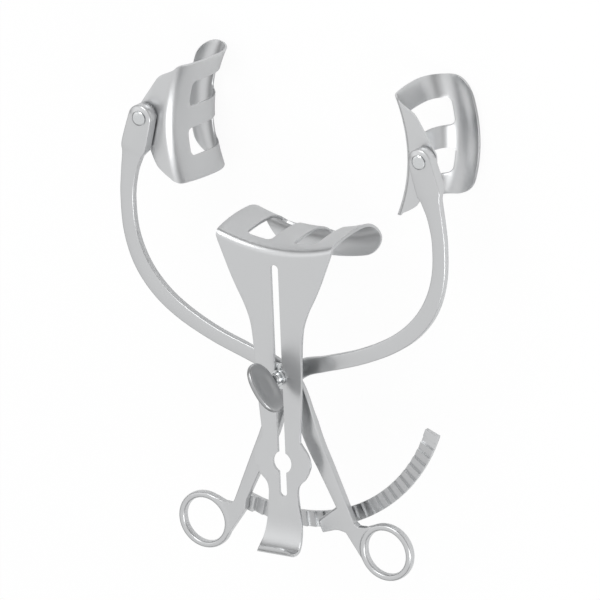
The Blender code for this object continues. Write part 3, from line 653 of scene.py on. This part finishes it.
def ratchet_teeth():
    """Row of saw teeth, each rising towards the free end of the bar and dropping off there."""
    start = RATCHET_FIRST + HEEL_SPAN + TOOTH_START
    step = math.degrees(TOOTH_PITCH / RATCHET_RADIUS)
    count = int((RATCHET_LAST - CAP_SPAN - start) / step)
    depth = TOOTH_HEIGHT + TOOTH_ROOT
    values = {
        "Radius": RATCHET_RADIUS * MM,
        "First Angle": math.radians(start + step / 2.0),
        "Step Angle": math.radians(step),
        "Length": TOOTH_PITCH * TOOTH_FILL * MM,
        "Width": (RATCHET_WIDTH - TOOTH_INSET) * MM,
        "Depth": depth * MM,
        "Rise": TOOTH_HEIGHT * MM,
        "Count": count,
        "Centre": [value * MM for value in (*RATCHET_CENTRE, RATCHET_TOP - depth / 2.0)],
        "Material": forged_steel,
    }
    teeth = bpy.data.objects.new("teeth", bpy.data.meshes.new("teeth"))
    bpy.context.collection.objects.link(teeth)
    modifier = teeth.modifiers.new("teeth", "NODES")
    modifier.node_group = tooth_tree()
    for item in modifier.node_group.interface.items_tree:
        if item.in_out == "INPUT":
            modifier[item.identifier] = values[item.name]
    apply_modifiers(teeth)
    return teeth


def soften(piece, width, angle, segments=2):
    """Break the edges of a piece that turn by more than an angle in degrees."""
    modifier = piece.modifiers.new("edges", "BEVEL")
    modifier.width = width * MM
    modifier.segments = segments
    modifier.limit_method = "ANGLE"
    modifier.angle_limit = math.radians(angle)
    modifier.miter_outer = "MITER_ARC"
    apply_modifiers(piece)
    piece.data.shade_smooth()
    piece.data.set_sharp_from_angle(angle=math.radians(40.0))


bar = finish_piece("ratchet", ratchet_strip(), forged_steel)
soften(bar, width=0.35, angle=25.0)
combine(bar, ratchet_teeth())
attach(bar, "right_arm")
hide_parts("ratchet_bar")


# Blades
# Each is cut from stainless sheet, pressed over a former and given a curled lip.
# The windows are punched before forming, and all edges are rounded and polished.
SHEET = 1.8
CENTRE_SHEET = 2.6
SIDE_RIM = 0.5
CENTRE_RIM = 0.7
# Radius, turn in degrees and number of slices of each bend, from the plate to the lip
SIDE_PROFILE = (
    (4.0, 38.0, 6),
    (17.0, 36.0, 12),
    (142.0, 16.0, 8),
    (30.0, 45.0, 10),
    (22.0, 76.0, 16),
)
CENTRE_PROFILE = ((7.0, 75.5, 16), (160.0, 16.0, 8), (34.0, 45.0, 10), (23.0, 60.0, 14))
SIDE_WINDOW = (25.5, 80.5)
CENTRE_WINDOW = (17.0, 78.0)
WINDOW_CORNER = 4.5
LIP_CORNER = 17.0
SIDE_TOP = 48.3
SIDE_BOTTOM = -55.7
SIDE_FOLD = 16.0
SIDE_BOW = 11.0
SIDE_RIB = 19.0
SIDE_APEX = 9.5
# How far past the fold the plate's two shoulders lie, and their corner radii
SIDE_SHOULDERS = ((2.5, 11.0), (1.0, 12.0))
SIDE_EASE = (2.0, 4.0, 7.0, 10.0)
SIDE_ROWS = 26
LEFT_SWING = -4.0
RIGHT_SWING = -1.0
WASHER = 1.0

sheet_steel = stainless_steel("bead_blasted_sheet", "CBCCCD", 0.34, 1.0, 0.02)


def profile_point(profile, distance):
    """Inward shift, depth and heading on a sheet past the start of its fold."""
    inward = 0.0
    depth = 0.0
    heading = 90.0
    for radius, turn, _ in profile:
        swept = min(math.degrees(distance / radius), turn)
        start = math.radians(heading)
        end = math.radians(heading - swept)
        inward += radius * (math.cos(end) - math.cos(start))
        depth += radius * (math.sin(start) - math.sin(end))
        heading -= swept
        distance -= radius * math.radians(turn)
        if distance <= 0.0:
            break
    return inward, depth, heading


def profile_length(profile):
    """Length of sheet that a profile's bends take up."""
    return sum(radius * math.radians(turn) for radius, turn, _ in profile)


def bend_positions(profile, start):
    """Places along the blank where it is sliced so that it can bend."""
    result = []
    for radius, turn, slices in profile:
        length = radius * math.radians(turn)
        result += [start + length * step / slices for step in range(slices)]
        start += length
    return result


def window_outlines(rib, low, high, span, fold):
    """Two punched windows with a rib below, between and above them."""
    opening = (high - low - 3.0 * rib) / 2.0
    near, far = (fold + position for position in span)
    outlines = []
    for start in (low + rib, high - rib - opening):
        corners = (
            (near, start, WINDOW_CORNER),
            (far, start, WINDOW_CORNER),
            (far, start + opening, WINDOW_CORNER),
            (near, start + opening, WINDOW_CORNER),
        )
        outlines.append(rounded_outline(corners, 8))
    return outlines


def flat_blank(outlines):
    """Flat sheet: the first outline is its edge and the others are punched out."""
    bm = bmesh.new()
    edges = []
    for outline in outlines:
        ring = [bm.verts.new((x, y, 0.0)) for x, y in outline]
        for first, second in zip(ring, ring[1:] + ring[:1]):
            edges.append(bm.edges.new((first, second)))
    bmesh.ops.triangle_fill(bm, edges=edges, use_beauty=True, normal=(0.0, 0.0, 1.0))
    return bm


def slice_blank(bm, normal, positions):
    """Cut a blank's faces along straight lines across one direction."""
    for position in positions:
        geometry = bm.verts[:] + bm.edges[:] + bm.faces[:]
        bmesh.ops.bisect_plane(
            bm, geom=geometry, plane_co=Vector(normal) * position, plane_no=normal
        )


def thickened(bm, directions, thickness):
    """Give a formed sheet its rear surface and its rim."""
    lower = {}
    for vert in list(bm.verts):
        lower[vert] = bm.verts.new(vert.co - directions[vert.index] * thickness)
    walls = []
    for edge in bm.edges:
        if len(edge.link_faces) != 1:
            continue
        loop = next(loop for loop in edge.link_faces[0].loops if loop.edge == edge)
        first = loop.vert
        second = loop.link_loop_next.vert
        walls.append((second, first, lower[first], lower[second]))
    for face in list(bm.faces):
        bm.faces.new([lower[vert] for vert in reversed(face.verts)])
    for wall in walls:
        bm.faces.new(wall)
    return bm


def sheet_piece(name, bm, node, rim):
    """Finish a pressed blade with rounded rims."""
    piece = finish_piece(name, bm, sheet_steel)
    soften(piece, width=rim, angle=50.0, segments=3)
    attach(piece, node)
    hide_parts(node)


def side_blade(top):
    """Right-hand side blade in millimetres; the left one is its mirror image."""
    middle = (SIDE_TOP + SIDE_BOTTOM) / 2.0
    half = (SIDE_TOP - SIDE_BOTTOM) / 2.0
    end = SIDE_FOLD + profile_length(SIDE_PROFILE)
    edge = rounded_outline(
        (
            (-SIDE_APEX, -SIDE_APEX * 0.4, SIDE_APEX * 0.7),
            (-SIDE_APEX, SIDE_APEX * 0.4, SIDE_APEX * 0.7),
            (SIDE_FOLD + SIDE_SHOULDERS[0][0], SIDE_TOP, SIDE_SHOULDERS[0][1]),
            (end, SIDE_TOP, LIP_CORNER),
            (end, SIDE_BOTTOM, LIP_CORNER),
            (SIDE_FOLD + SIDE_SHOULDERS[1][0], SIDE_BOTTOM, SIDE_SHOULDERS[1][1]),
        ),
        12,
    )
    windows = window_outlines(SIDE_RIB, SIDE_BOTTOM, SIDE_TOP, SIDE_WINDOW, SIDE_FOLD)
    bm = flat_blank([edge] + windows + [arc_points(PIN_BORE, 0.0, 360.0, 48)[:-1]])
    slice_blank(bm, (1.0, 0.0, 0.0), bend_positions(SIDE_PROFILE, SIDE_FOLD))
    slice_blank(bm, (1.0, 0.0, 0.0), [SIDE_FOLD - step for step in SIDE_EASE])
    across = [SIDE_BOTTOM + 2.0 * half * row / SIDE_ROWS for row in range(1, SIDE_ROWS)]
    slice_blank(bm, (0.0, 1.0, 0.0), across)
    bm.verts.index_update()
    directions = {}
    for vert in bm.verts:
        x, y, _ = vert.co
        bow = SIDE_BOW * ((y - middle) / half) ** 2
        slope = 2.0 * SIDE_BOW * (y - middle) / half ** 2
        if x > SIDE_FOLD:
            inward, depth, heading = profile_point(SIDE_PROFILE, x - SIDE_FOLD)
            inward += SIDE_FOLD + bow
        else:
            inward = x + smooth_step(x, SIDE_APEX, SIDE_FOLD) * bow
            depth = 0.0
            heading = 90.0
        tilt = math.radians(heading)
        vert.co = (PIN_X - inward, PIN_Y + y, top - depth)
        outer = Vector((-math.cos(tilt), -slope * math.cos(tilt), math.sin(tilt)))
        directions[vert.index] = outer.normalized()
    return thickened(bm, directions, SHEET)


def swung(bm, side, degrees):
    """Turn a side blade about its pin, as it stands in the photograph."""
    turn = Matrix.Rotation(math.radians(degrees), 3, "Z")
    bmesh.ops.rotate(bm, cent=(side * PIN_X, PIN_Y, 0.0), matrix=turn, verts=bm.verts)
    return bm


# The plates lie under the ears with a spring washer between
BELOW_EAR = EAR_THICKNESS + WASHER + 2.0 * GAP
left = swung(mirrored(side_blade(LEFT_TOP - BELOW_EAR)), -1.0, LEFT_SWING)
sheet_piece("left_blade_pressing", left, "left_blade", SIDE_RIM)
right = swung(side_blade(RIGHT_TOP - BELOW_EAR), 1.0, RIGHT_SWING)
sheet_piece("right_blade_pressing", right, "right_blade", SIDE_RIM)


# Centre blade
# Thicker sheet: a long slotted shank that slides on the pivot, turned up at the end
# into a hook for the thumb, and a blade like the side ones at the other end.
NUT = 5.8
FLANGE = 2.8
CENTRE_LOW = LEFT_TOP + GAP + NUT + GAP + FLANGE + GAP
CENTRE_TOP = CENTRE_LOW + CENTRE_SHEET
CENTRE_HALF = 57.0
CENTRE_FOLD = 106.0
CENTRE_BOW = 9.5
CENTRE_RIB = 22.0
CENTRE_EASE = 36.0
SHANK_EDGE = (
    (55.5, 103.0),
    (48.3, 90.5),
    (38.3, 73.0),
    (31.2, 59.5),
    (26.4, 46.5),
    (24.4, 33.5),
    (23.4, 20.0),
    (21.2, -21.0),
    (18.6, -52.0),
    (20.0, -56.8),
    (25.8, -65.0),
    (28.0, -73.5),
    (26.0, -80.5),
    (22.0, -87.2),
    (16.2, -93.0),
    (14.4, -99.0),
    (14.6, -106.0),
    (15.8, -118.0),
)
SLOT_HALF = 3.8
SLOT_TOP = 98.3
SLOT_BOTTOM = -104.4
KEYHOLE_Y = -74.6
KEYHOLE_RADIUS = 9.3
HOOK_START = -122.0
HOOK_PROFILE = ((42.0, 24.0, 8), (20.0, 26.0, 6), (7.5, 40.0, 8), (4.5, 85.0, 12))
HOOK_TIP = 1.5
HOOK_HALF = 19.4
HOOK_CORNER = 14.0


def keyhole_slot():
    """Slot with round ends, crossed by the hole that passes over the thumb screw."""
    mouth = math.degrees(math.asin(SLOT_HALF / KEYHOLE_RADIUS))
    hole = (0.0, KEYHOLE_Y)
    outline = arc_points(SLOT_HALF, 0.0, 180.0, 16, (0.0, SLOT_TOP - SLOT_HALF))
    outline += arc_points(KEYHOLE_RADIUS, 90.0 + mouth, 270.0 - mouth, 24, hole)
    outline += arc_points(SLOT_HALF, 180.0, 360.0, 16, (0.0, SLOT_BOTTOM + SLOT_HALF))
    outline += arc_points(KEYHOLE_RADIUS, mouth - 90.0, 90.0 - mouth, 24, hole)
    return outline


def hook_point(distance):
    """Rise, drop and turn of the sheet along the hook, which tightens towards its tip."""
    rise = 0.0
    drop = 0.0
    angle = 0.0
    for radius, turn, _ in HOOK_PROFILE:
        swept = min(max(distance / radius, 0.0), math.radians(turn))
        rise += radius * (math.cos(angle) - math.cos(angle + swept))
        drop += radius * (math.sin(angle + swept) - math.sin(angle))
        angle += swept
        distance -= radius * math.radians(turn)
    straight = max(distance, 0.0)
    return rise + straight * math.sin(angle), drop + straight * math.cos(angle), angle


def centre_blank():
    """Flat blank of the centre blade: y runs along the shank and on down the wall."""
    end = CENTRE_FOLD + profile_length(CENTRE_PROFILE)
    hook_length = profile_length(HOOK_PROFILE)
    hook_end = HOOK_START - hook_length - HOOK_TIP
    lip_corners = ((0.0, end, 0.0), (CENTRE_HALF, end, LIP_CORNER), (CENTRE_HALF, 0.0, 0.0))
    tip_corners = (
        (HOOK_HALF, 0.0, 0.0),
        (HOOK_HALF, hook_end, HOOK_CORNER),
        (0.0, hook_end, 0.0),
    )
    right = rounded_outline(lip_corners, 12)[1:-1]
    right += [(CENTRE_HALF, CENTRE_FOLD + 1.0)]
    right += smooth_curve(SHANK_EDGE, 6)
    right += rounded_outline(tip_corners, 10)[1:-1]
    edge = right + [(-x, y) for x, y in reversed(right)]
    windows = []
    for outline in window_outlines(
        CENTRE_RIB, -CENTRE_HALF, CENTRE_HALF, CENTRE_WINDOW, CENTRE_FOLD
    ):
        windows.append([(x, y) for y, x in outline])
    bm = flat_blank([edge] + windows + [keyhole_slot()])
    slices = bend_positions(CENTRE_PROFILE, CENTRE_FOLD)
    slices += [CENTRE_FOLD - CENTRE_EASE * step / 8 for step in range(1, 9)]
    slices += [-position for position in bend_positions(HOOK_PROFILE, -HOOK_START)]
    slices += [HOOK_START - hook_length]
    slice_blank(bm, (0.0, 1.0, 0.0), slices)
    lengthwise = [CENTRE_HALF * step / 13 for step in range(-12, 13)]
    slice_blank(bm, (1.0, 0.0, 0.0), lengthwise)
    return bm


def centre_blade():
    """Centre blade in millimetres, its blank folded at one end and curled at the other."""
    bm = centre_blank()
    bm.verts.index_update()
    directions = {}
    for vert in bm.verts:
        x, y, _ = vert.co
        bow = CENTRE_BOW * (x / CENTRE_HALF) ** 2
        slope = 2.0 * CENTRE_BOW * x / CENTRE_HALF ** 2
        if y > CENTRE_FOLD:
            inward, depth, heading = profile_point(CENTRE_PROFILE, y - CENTRE_FOLD)
            tilt = math.radians(heading)
            vert.co = (x, CENTRE_FOLD + bow + inward, CENTRE_TOP - depth)
            outer = Vector((-slope * math.cos(tilt), math.cos(tilt), math.sin(tilt)))
        elif y < HOOK_START:
            rise, drop, tilt = hook_point(HOOK_START - y)
            vert.co = (x, HOOK_START - drop, CENTRE_TOP + rise)
            outer = Vector((0.0, math.sin(tilt), math.cos(tilt)))
        else:
            stretch = smooth_step(y, CENTRE_FOLD - CENTRE_EASE, CENTRE_FOLD) * bow
            vert.co = (x, y + stretch, CENTRE_TOP)
            outer = Vector((0.0, 0.0, 1.0))
        directions[vert.index] = outer.normalized()
    return thickened(bm, directions, CENTRE_SHEET)


sheet_piece("centre_blade_pressing", centre_blade(), "centre_blade", CENTRE_RIM)


# Pivot screw, nut and slide block
# Turned stainless steel, polished. The screw holds both arms under the nut, and its
# threaded stud carries the slide block, the blade's shank and the thumb screw.
PIVOT_HEAD = ((0.4, 0.0), (6.4, 0.0), (7.5, 0.45), (8.0, 1.2), (8.0, 2.4), (7.8, 2.6))
POST = 3.8
POST_EDGE = 0.3
STUD = 2.4
STUD_EDGE = 0.5
STUD_LENGTH = 11.4
STUD_BORE = 2.7
THREAD_DEPTH = 0.22
THREAD_PITCH = 0.8
NUT_BORE = 3.9
NUT_RADIUS = 8.6
NUT_EDGE = 0.6
NUT_LOW = LEFT_TOP + GAP
NUT_TOP = NUT_LOW + NUT
STUD_TOP = NUT_TOP + STUD_LENGTH
FLANGE_LOW = NUT_TOP + GAP
FLANGE_TOP = FLANGE_LOW + FLANGE
FLANGE_SIZE = (17.0, 22.0)
FLANGE_CORNER = 3.0
KEY_SIZE = (7.0, 12.0)
KEY_CORNER = 0.6
KEY_OVERLAP = 0.5

turned_steel = stainless_steel("polished_turned_steel", "D0D2D3", 0.2, 0.6, 0.006)


def turned_piece(name, bm, body, node):
    """Put a turned piece on its body in place of its solid."""
    piece = finish_piece(name, bm, turned_steel, sharp=35.0)
    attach(piece, body)
    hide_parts(node)


def pivot_screw():
    """Low rear head, plain post and a stud with a fine thread."""
    root = STUD - THREAD_DEPTH
    profile = list(PIVOT_HEAD)
    profile += [(POST, PIVOT_HEAD[-1][1]), (POST, NUT_TOP - POST_EDGE)]
    profile += [(POST - POST_EDGE, NUT_TOP), (root, NUT_TOP)]
    height = NUT_TOP + THREAD_PITCH / 2.0
    while height + THREAD_PITCH < STUD_TOP:
        profile.append((root, height))
        profile.append((STUD, height + THREAD_PITCH * 0.4))
        profile.append((STUD, height + THREAD_PITCH * 0.5))
        height += THREAD_PITCH
    profile += [(root, height), (STUD - STUD_EDGE, STUD_TOP)]
    return turned(profile)


def flat_ring(inner, outer, low, high, edge, centre=(0.0, 0.0)):
    """Flat ring with rounded outer edges."""
    section = ((inner, low, 0.0), (outer, low, edge), (outer, high, edge), (inner, high, 0.0))
    return turned(rounded_outline(section, 4), centre, closed=True)


def rounded_block(size, corner, steps, low, high):
    """Upright block about the pivot's axis with rounded corners."""
    x = size[0] / 2.0
    y = size[1] / 2.0
    corners = ((-x, -y, corner), (x, -y, corner), (x, y, corner), (-x, y, corner))
    return prism(rounded_outline(corners, steps), low, high)


turned_piece("pivot_bolt", pivot_screw(), "pivot", "pivot_screw")
nut = flat_ring(NUT_BORE, NUT_RADIUS, NUT_LOW, NUT_TOP, NUT_EDGE)
turned_piece("pivot_ring_nut", nut, "pivot", "pivot_nut")

# The block's flange lies under the shank and its flat-sided key rides in the slot
flange = rounded_block(FLANGE_SIZE, FLANGE_CORNER, 10, FLANGE_LOW, FLANGE_TOP)
block = finish_piece("shank_slide_block", flange, turned_steel)
fuse(block, rounded_block(KEY_SIZE, KEY_CORNER, 4, FLANGE_TOP - KEY_OVERLAP, CENTRE_TOP - GAP))
bore(block, STUD_BORE)
soften(block, width=0.3, angle=40.0)
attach(block, "slide_block")
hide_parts("slide_block")


# Thumb screw and its washer
# A turned hub with an oval thumb plate, dished on both sides, all in one forging that
# is blasted; it presses the shank down on the slide block.
CLAMP = 1.8
CLAMP_RADIUS = 7.0
CLAMP_EDGE = 0.5
CLAMP_LOW = CENTRE_TOP + GAP
CLAMP_TOP = CLAMP_LOW + CLAMP
HUB_LOW = CLAMP_TOP + GAP
# Radius and height of the hub's outline above its foot
HUB_FOOT = ((4.6, 0.0), (5.2, 0.5), (5.2, 2.2), (4.6, 2.8))
HUB_NECK = ((4.1, 3.4), (4.0, 4.5), (3.6, 5.0), (0.6, 5.0))
SPADE_GAP = 0.05
SPADE_LOW = HUB_LOW + HUB_NECK[-1][1] + SPADE_GAP
SPADE_WIDE = 22.4
SPADE_HIGH = 15.0
SPADE_SQUARENESS = 2.3
SPADE_OFFSET = 2.5
SPADE_RIM = 2.3
SPADE_DISH = 1.4
# Shares of the way out to the rim at which the dish starts to rise, is full and turns over
DISH_START = 0.35
DISH_END = 0.86
SPADE_EDGE = 0.9
SPADE_TURN = -57.0


def spade_half(level):
    """Half thickness of the thumb plate from its middle to its rounded rim."""
    if level <= SPADE_EDGE:
        return SPADE_RIM - SPADE_DISH * (1.0 - smooth_step(level, DISH_START, DISH_END))
    past = (level - SPADE_EDGE) / (1.0 - SPADE_EDGE)
    return SPADE_RIM * math.sqrt(max(1.0 - past ** 2, 0.0))


def spade():
    """Oval plate standing on the hub, turned about the screw as in use."""
    levels = [step / 20 for step in range(1, 18)]
    for step in range(11):
        levels.append(SPADE_EDGE + (1.0 - SPADE_EDGE) * math.sin(math.radians(9.0 * step)))
    middle = SPADE_LOW + SPADE_HIGH
    bm = bmesh.new()
    for face in (1.0, -1.0):
        centre = bm.verts.new((SPADE_OFFSET, face * spade_half(0.0), middle))
        inner = None
        for level in levels:
            outer = []
            for x, y in arc_points(1.0, 0.0, 360.0, ROUND_STEPS)[:-1]:
                across = SPADE_OFFSET + SPADE_WIDE * level * squared(x, SPADE_SQUARENESS)
                rise = SPADE_HIGH * level * squared(y, SPADE_SQUARENESS)
                place = (across, face * spade_half(level), middle + rise)
                outer.append(bm.verts.new(place))
            for step in range(ROUND_STEPS):
                after = (step + 1) % ROUND_STEPS
                if inner is None:
                    bm.faces.new((centre, outer[step], outer[after]))
                else:
                    bm.faces.new((inner[step], outer[step], outer[after], inner[after]))
            inner = outer
    turn = Matrix.Rotation(math.radians(SPADE_TURN), 4, "Z")
    bmesh.ops.transform(bm, matrix=turn, verts=bm.verts)
    return bm


washer = flat_ring(STUD_BORE, CLAMP_RADIUS, CLAMP_LOW, CLAMP_TOP, CLAMP_EDGE)
turned_piece("clamp_ring", washer, "pivot", "clamp_washer")
hub = turned([(radius, HUB_LOW + height) for radius, height in HUB_FOOT + HUB_NECK])
turned_piece("thumb_screw_hub", hub, "thumb", "thumb_hub")
# The thumb plate's steel is drawn darker than the other steel: painted shade, standing in for the
# dark reflections on its dished face.
plate_steel = stainless_steel("blasted_thumb_plate_with_painted_shade", "A9AAAB", 0.34, 0.9, 0.02)
plate = finish_piece("thumb_screw_plate", spade(), plate_steel)
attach(plate, "thumb")
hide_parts("thumb_spade")


# Blade pins and their washers
# Each side blade swivels on a turned pin, riveted over a washer on the rear; a sprung
# washer between ear and blade keeps it stiff enough to stay where it is put.
PIN = 3.4
# Radius and height of each end's outline, above the ear and from the rear washer
PIN_FRONT = (
    (6.1, 0.0),
    (6.3, 0.25),
    (6.3, 0.95),
    (6.0, 1.178),
    (4.8, 1.843),
    (4.5, 1.9),
    (0.4, 1.9),
)
PIN_REAR = ((0.4, -1.5), (3.8, -1.5), (5.2, -0.9), (5.6, -0.3), (5.6, 0.0))
SPRING_RADIUS = 9.0
REAR_RADIUS = 7.0
WASHER_EDGE = 0.3


def blade_pin(centre, rear, front):
    """Pin from its riveted rear end to its chamfered head."""
    profile = [(radius, rear + height) for radius, height in PIN_REAR]
    profile += [(PIN, rear), (PIN, front)]
    profile += [(radius, front + height) for radius, height in PIN_FRONT]
    return turned(profile, centre)


for side, label, ear_top in ((-1.0, "left", LEFT_TOP), (1.0, "right", RIGHT_TOP)):
    centre = (side * PIN_X, PIN_Y)
    body = f"{label}_arm"
    spring_top = ear_top - EAR_THICKNESS - GAP
    rear_top = spring_top - WASHER - GAP - SHEET - GAP
    for name, radius, top in (
        ("spring_washer", SPRING_RADIUS, spring_top),
        ("rear_washer", REAR_RADIUS, rear_top),
    ):
        washer = flat_ring(PIN_BORE, radius, top - WASHER, top, WASHER_EDGE, centre)
        turned_piece(f"{label}_{name}_ring", washer, body, f"{label}_{name}")
    pin = blade_pin(centre, rear_top - WASHER - GAP, ear_top + GAP)
    turned_piece(f"{label}_pin_turning", pin, body, f"{label}_blade_pin")


# Ratchet rivets
# Two small steel rivets, set from the rear through the bar into the handle.
RIVET_ANGLE = -19.63
RIVET_SPREAD = 3.4
RIVET_HEAD = 3.1
RIVET_SHANK = 1.85
RIVET_DEPTH = 2.0
RIVET_EDGE = 0.35
RIVET_DOME = 0.7


def rivet(centre):
    """Rivet with a low domed head under the bar and its shank in the handle."""
    seat = RATCHET_LOW - GAP / 2.0
    profile = [(RIVET_SHANK, RIGHT_LOW + RIVET_DEPTH), (RIVET_SHANK, seat)]
    profile += [(RIVET_HEAD, seat), (RIVET_HEAD, seat - RIVET_EDGE)]
    for step in range(1, 7):
        angle = math.radians(15.0 * step)
        radius = max(RIVET_HEAD * math.cos(angle), 0.1)
        profile.append((radius, seat - RIVET_EDGE - RIVET_DOME * math.sin(angle)))
    return turned(list(reversed(profile)), centre)


for label, spread in (("inner", -RIVET_SPREAD), ("outer", RIVET_SPREAD)):
    place = ratchet_point(RIVET_ANGLE, spread)
    name = f"ratchet_rivet_{label}"
    turned_piece(f"{name}_turning", rivet(place), "right_arm", name)


# Floor, light and camera
# A pale floor under the blades and soft boxes above; the camera stands at the height
# and side of the photograph, far enough away for its flat perspective.
FLOOR_DROP = 1.0
FLOOR_HALF = 6.0
FLOOR_GLOW = 0.94
SKY_LOW = 0.15
SKY_HIGH = 0.94
SKY_RISE = 0.65
LAMP_SIZE = 0.8
LAMP_TARGET = (0.0, 0.05, 0.0)
LAMPS = (
    ("key_box", (-0.2, 1.3, 1.1), 7.0),
    ("fill_box", (1.3, -0.45, 0.8), 7.0),
    ("side_box", (-1.2, 0.35, 1.1), 0.8),
)
CAMERA_DISTANCE = 20000.0
PIXELS_PER_MM = 1.2028
FRAME_PIXELS = 600.0
VIEW_YAW = math.radians(-34.0)
VIEW_PITCH = math.radians(18.2)
VIEW_ROLL = math.radians(2.336)
# Where the pivot's axis at the lap joint shows, in pixels from the top left
PIVOT_PIXEL = (289.87, 371.6)
SENSOR = 36.0

bm = bmesh.new()
bmesh.ops.create_grid(bm, x_segments=1, y_segments=1, size=FLOOR_HALF)
bmesh.ops.translate(bm, vec=(0.0, 0.0, cad_box[0][2] - FLOOR_DROP * MM), verts=bm.verts)
mesh = bpy.data.meshes.new("floor")
bm.to_mesh(mesh)
bm.free()
floor = bpy.data.objects.new("floor", mesh)
bpy.context.collection.objects.link(floor)
paint = bpy.data.materials.new("matt_white_floor")
paint.use_nodes = True
tree = paint.node_tree
shader = tree.nodes["Principled BSDF"]
shader.inputs["Base Color"].default_value = linear("F0F0F0")
shader.inputs["Roughness"].default_value = 0.9
light_path = add_node(tree, "ShaderNodeLightPath")
white = (1.0, 1.0, 1.0, 1.0)
glow = add_node(tree, "ShaderNodeEmission", values={"Color": white, "Strength": 1.0})
seen = add_node(
    tree,
    "ShaderNodeMath",
    settings={"operation": "MULTIPLY"},
    values={1: FLOOR_GLOW},
    links=[(light_path, "Is Camera Ray", 0)],
)
blend = add_node(
    tree,
    "ShaderNodeMixShader",
    links=[(seen, "Value", 0), (shader, "BSDF", 1), (glow, "Emission", 2)],
)
tree.links.new(blend.outputs["Shader"], tree.nodes["Material Output"].inputs["Surface"])
mesh.materials.append(paint)

world = bpy.data.worlds.new("studio")
bpy.context.scene.world = world
world.use_nodes = True
tree = world.node_tree
background = tree.nodes["Background"]
place = add_node(tree, "ShaderNodeTexCoord")
split = add_node(tree, "ShaderNodeSeparateXYZ", links=[(place, "Generated", "Vector")])
height = add_node(
    tree,
    "ShaderNodeMapRange",
    settings={"interpolation_type": "SMOOTHSTEP"},
    values={"From Min": 0.0, "From Max": SKY_RISE, "To Min": SKY_LOW, "To Max": SKY_HIGH},
    links=[(split, "Z", "Value")],
)
# The camera sees plain white behind the object, from whatever side it looks
seen = add_node(tree, "ShaderNodeLightPath")
strength = add_node(
    tree,
    "ShaderNodeMath",
    settings={"operation": "MAXIMUM"},
    links=[(height, "Result", 0), (seen, "Is Camera Ray", 1)],
)
tree.links.new(strength.outputs["Value"], background.inputs["Strength"])
background.inputs["Color"].default_value = white


for name, place, power in LAMPS:
    lamp = bpy.data.lights.new(name, "AREA")
    lamp.shape = "SQUARE"
    lamp.size = LAMP_SIZE
    lamp.energy = power
    box = bpy.data.objects.new(name, lamp)
    box.location = place
    towards = Vector(LAMP_TARGET) - Vector(place)
    box.rotation_euler = towards.to_track_quat("-Z", "Y").to_euler()
    bpy.context.collection.objects.link(box)

flat_right = Vector((math.cos(VIEW_YAW), 0.0, math.sin(VIEW_YAW)))
flat_up = Vector(
    (
        math.sin(VIEW_YAW) * math.sin(VIEW_PITCH),
        math.cos(VIEW_PITCH),
        -math.cos(VIEW_YAW) * math.sin(VIEW_PITCH),
    )
)
right = flat_right * math.cos(VIEW_ROLL) - flat_up * math.sin(VIEW_ROLL)
up = flat_right * math.sin(VIEW_ROLL) + flat_up * math.cos(VIEW_ROLL)
back = right.cross(up)
middle = FRAME_PIXELS / 2.0
aim = Vector((0.0, 0.0, LAP_HEIGHT))
aim += right * (middle - PIVOT_PIXEL[0]) / PIXELS_PER_MM
aim += up * (PIVOT_PIXEL[1] - middle) / PIXELS_PER_MM
lens = bpy.data.cameras.new("camera")
lens.sensor_width = SENSOR
lens.lens = CAMERA_DISTANCE * PIXELS_PER_MM * SENSOR / FRAME_PIXELS
lens.clip_start = 1.0
lens.clip_end = 100.0
camera = bpy.data.objects.new("camera", lens)
turn = Matrix((right, up, back)).transposed().to_4x4()
camera.matrix_world = Matrix.Translation((aim + back * CAMERA_DISTANCE) * MM) @ turn
bpy.context.collection.objects.link(camera)
bpy.context.scene.camera = camera
bpy.context.scene.view_settings.view_transform = "Standard"
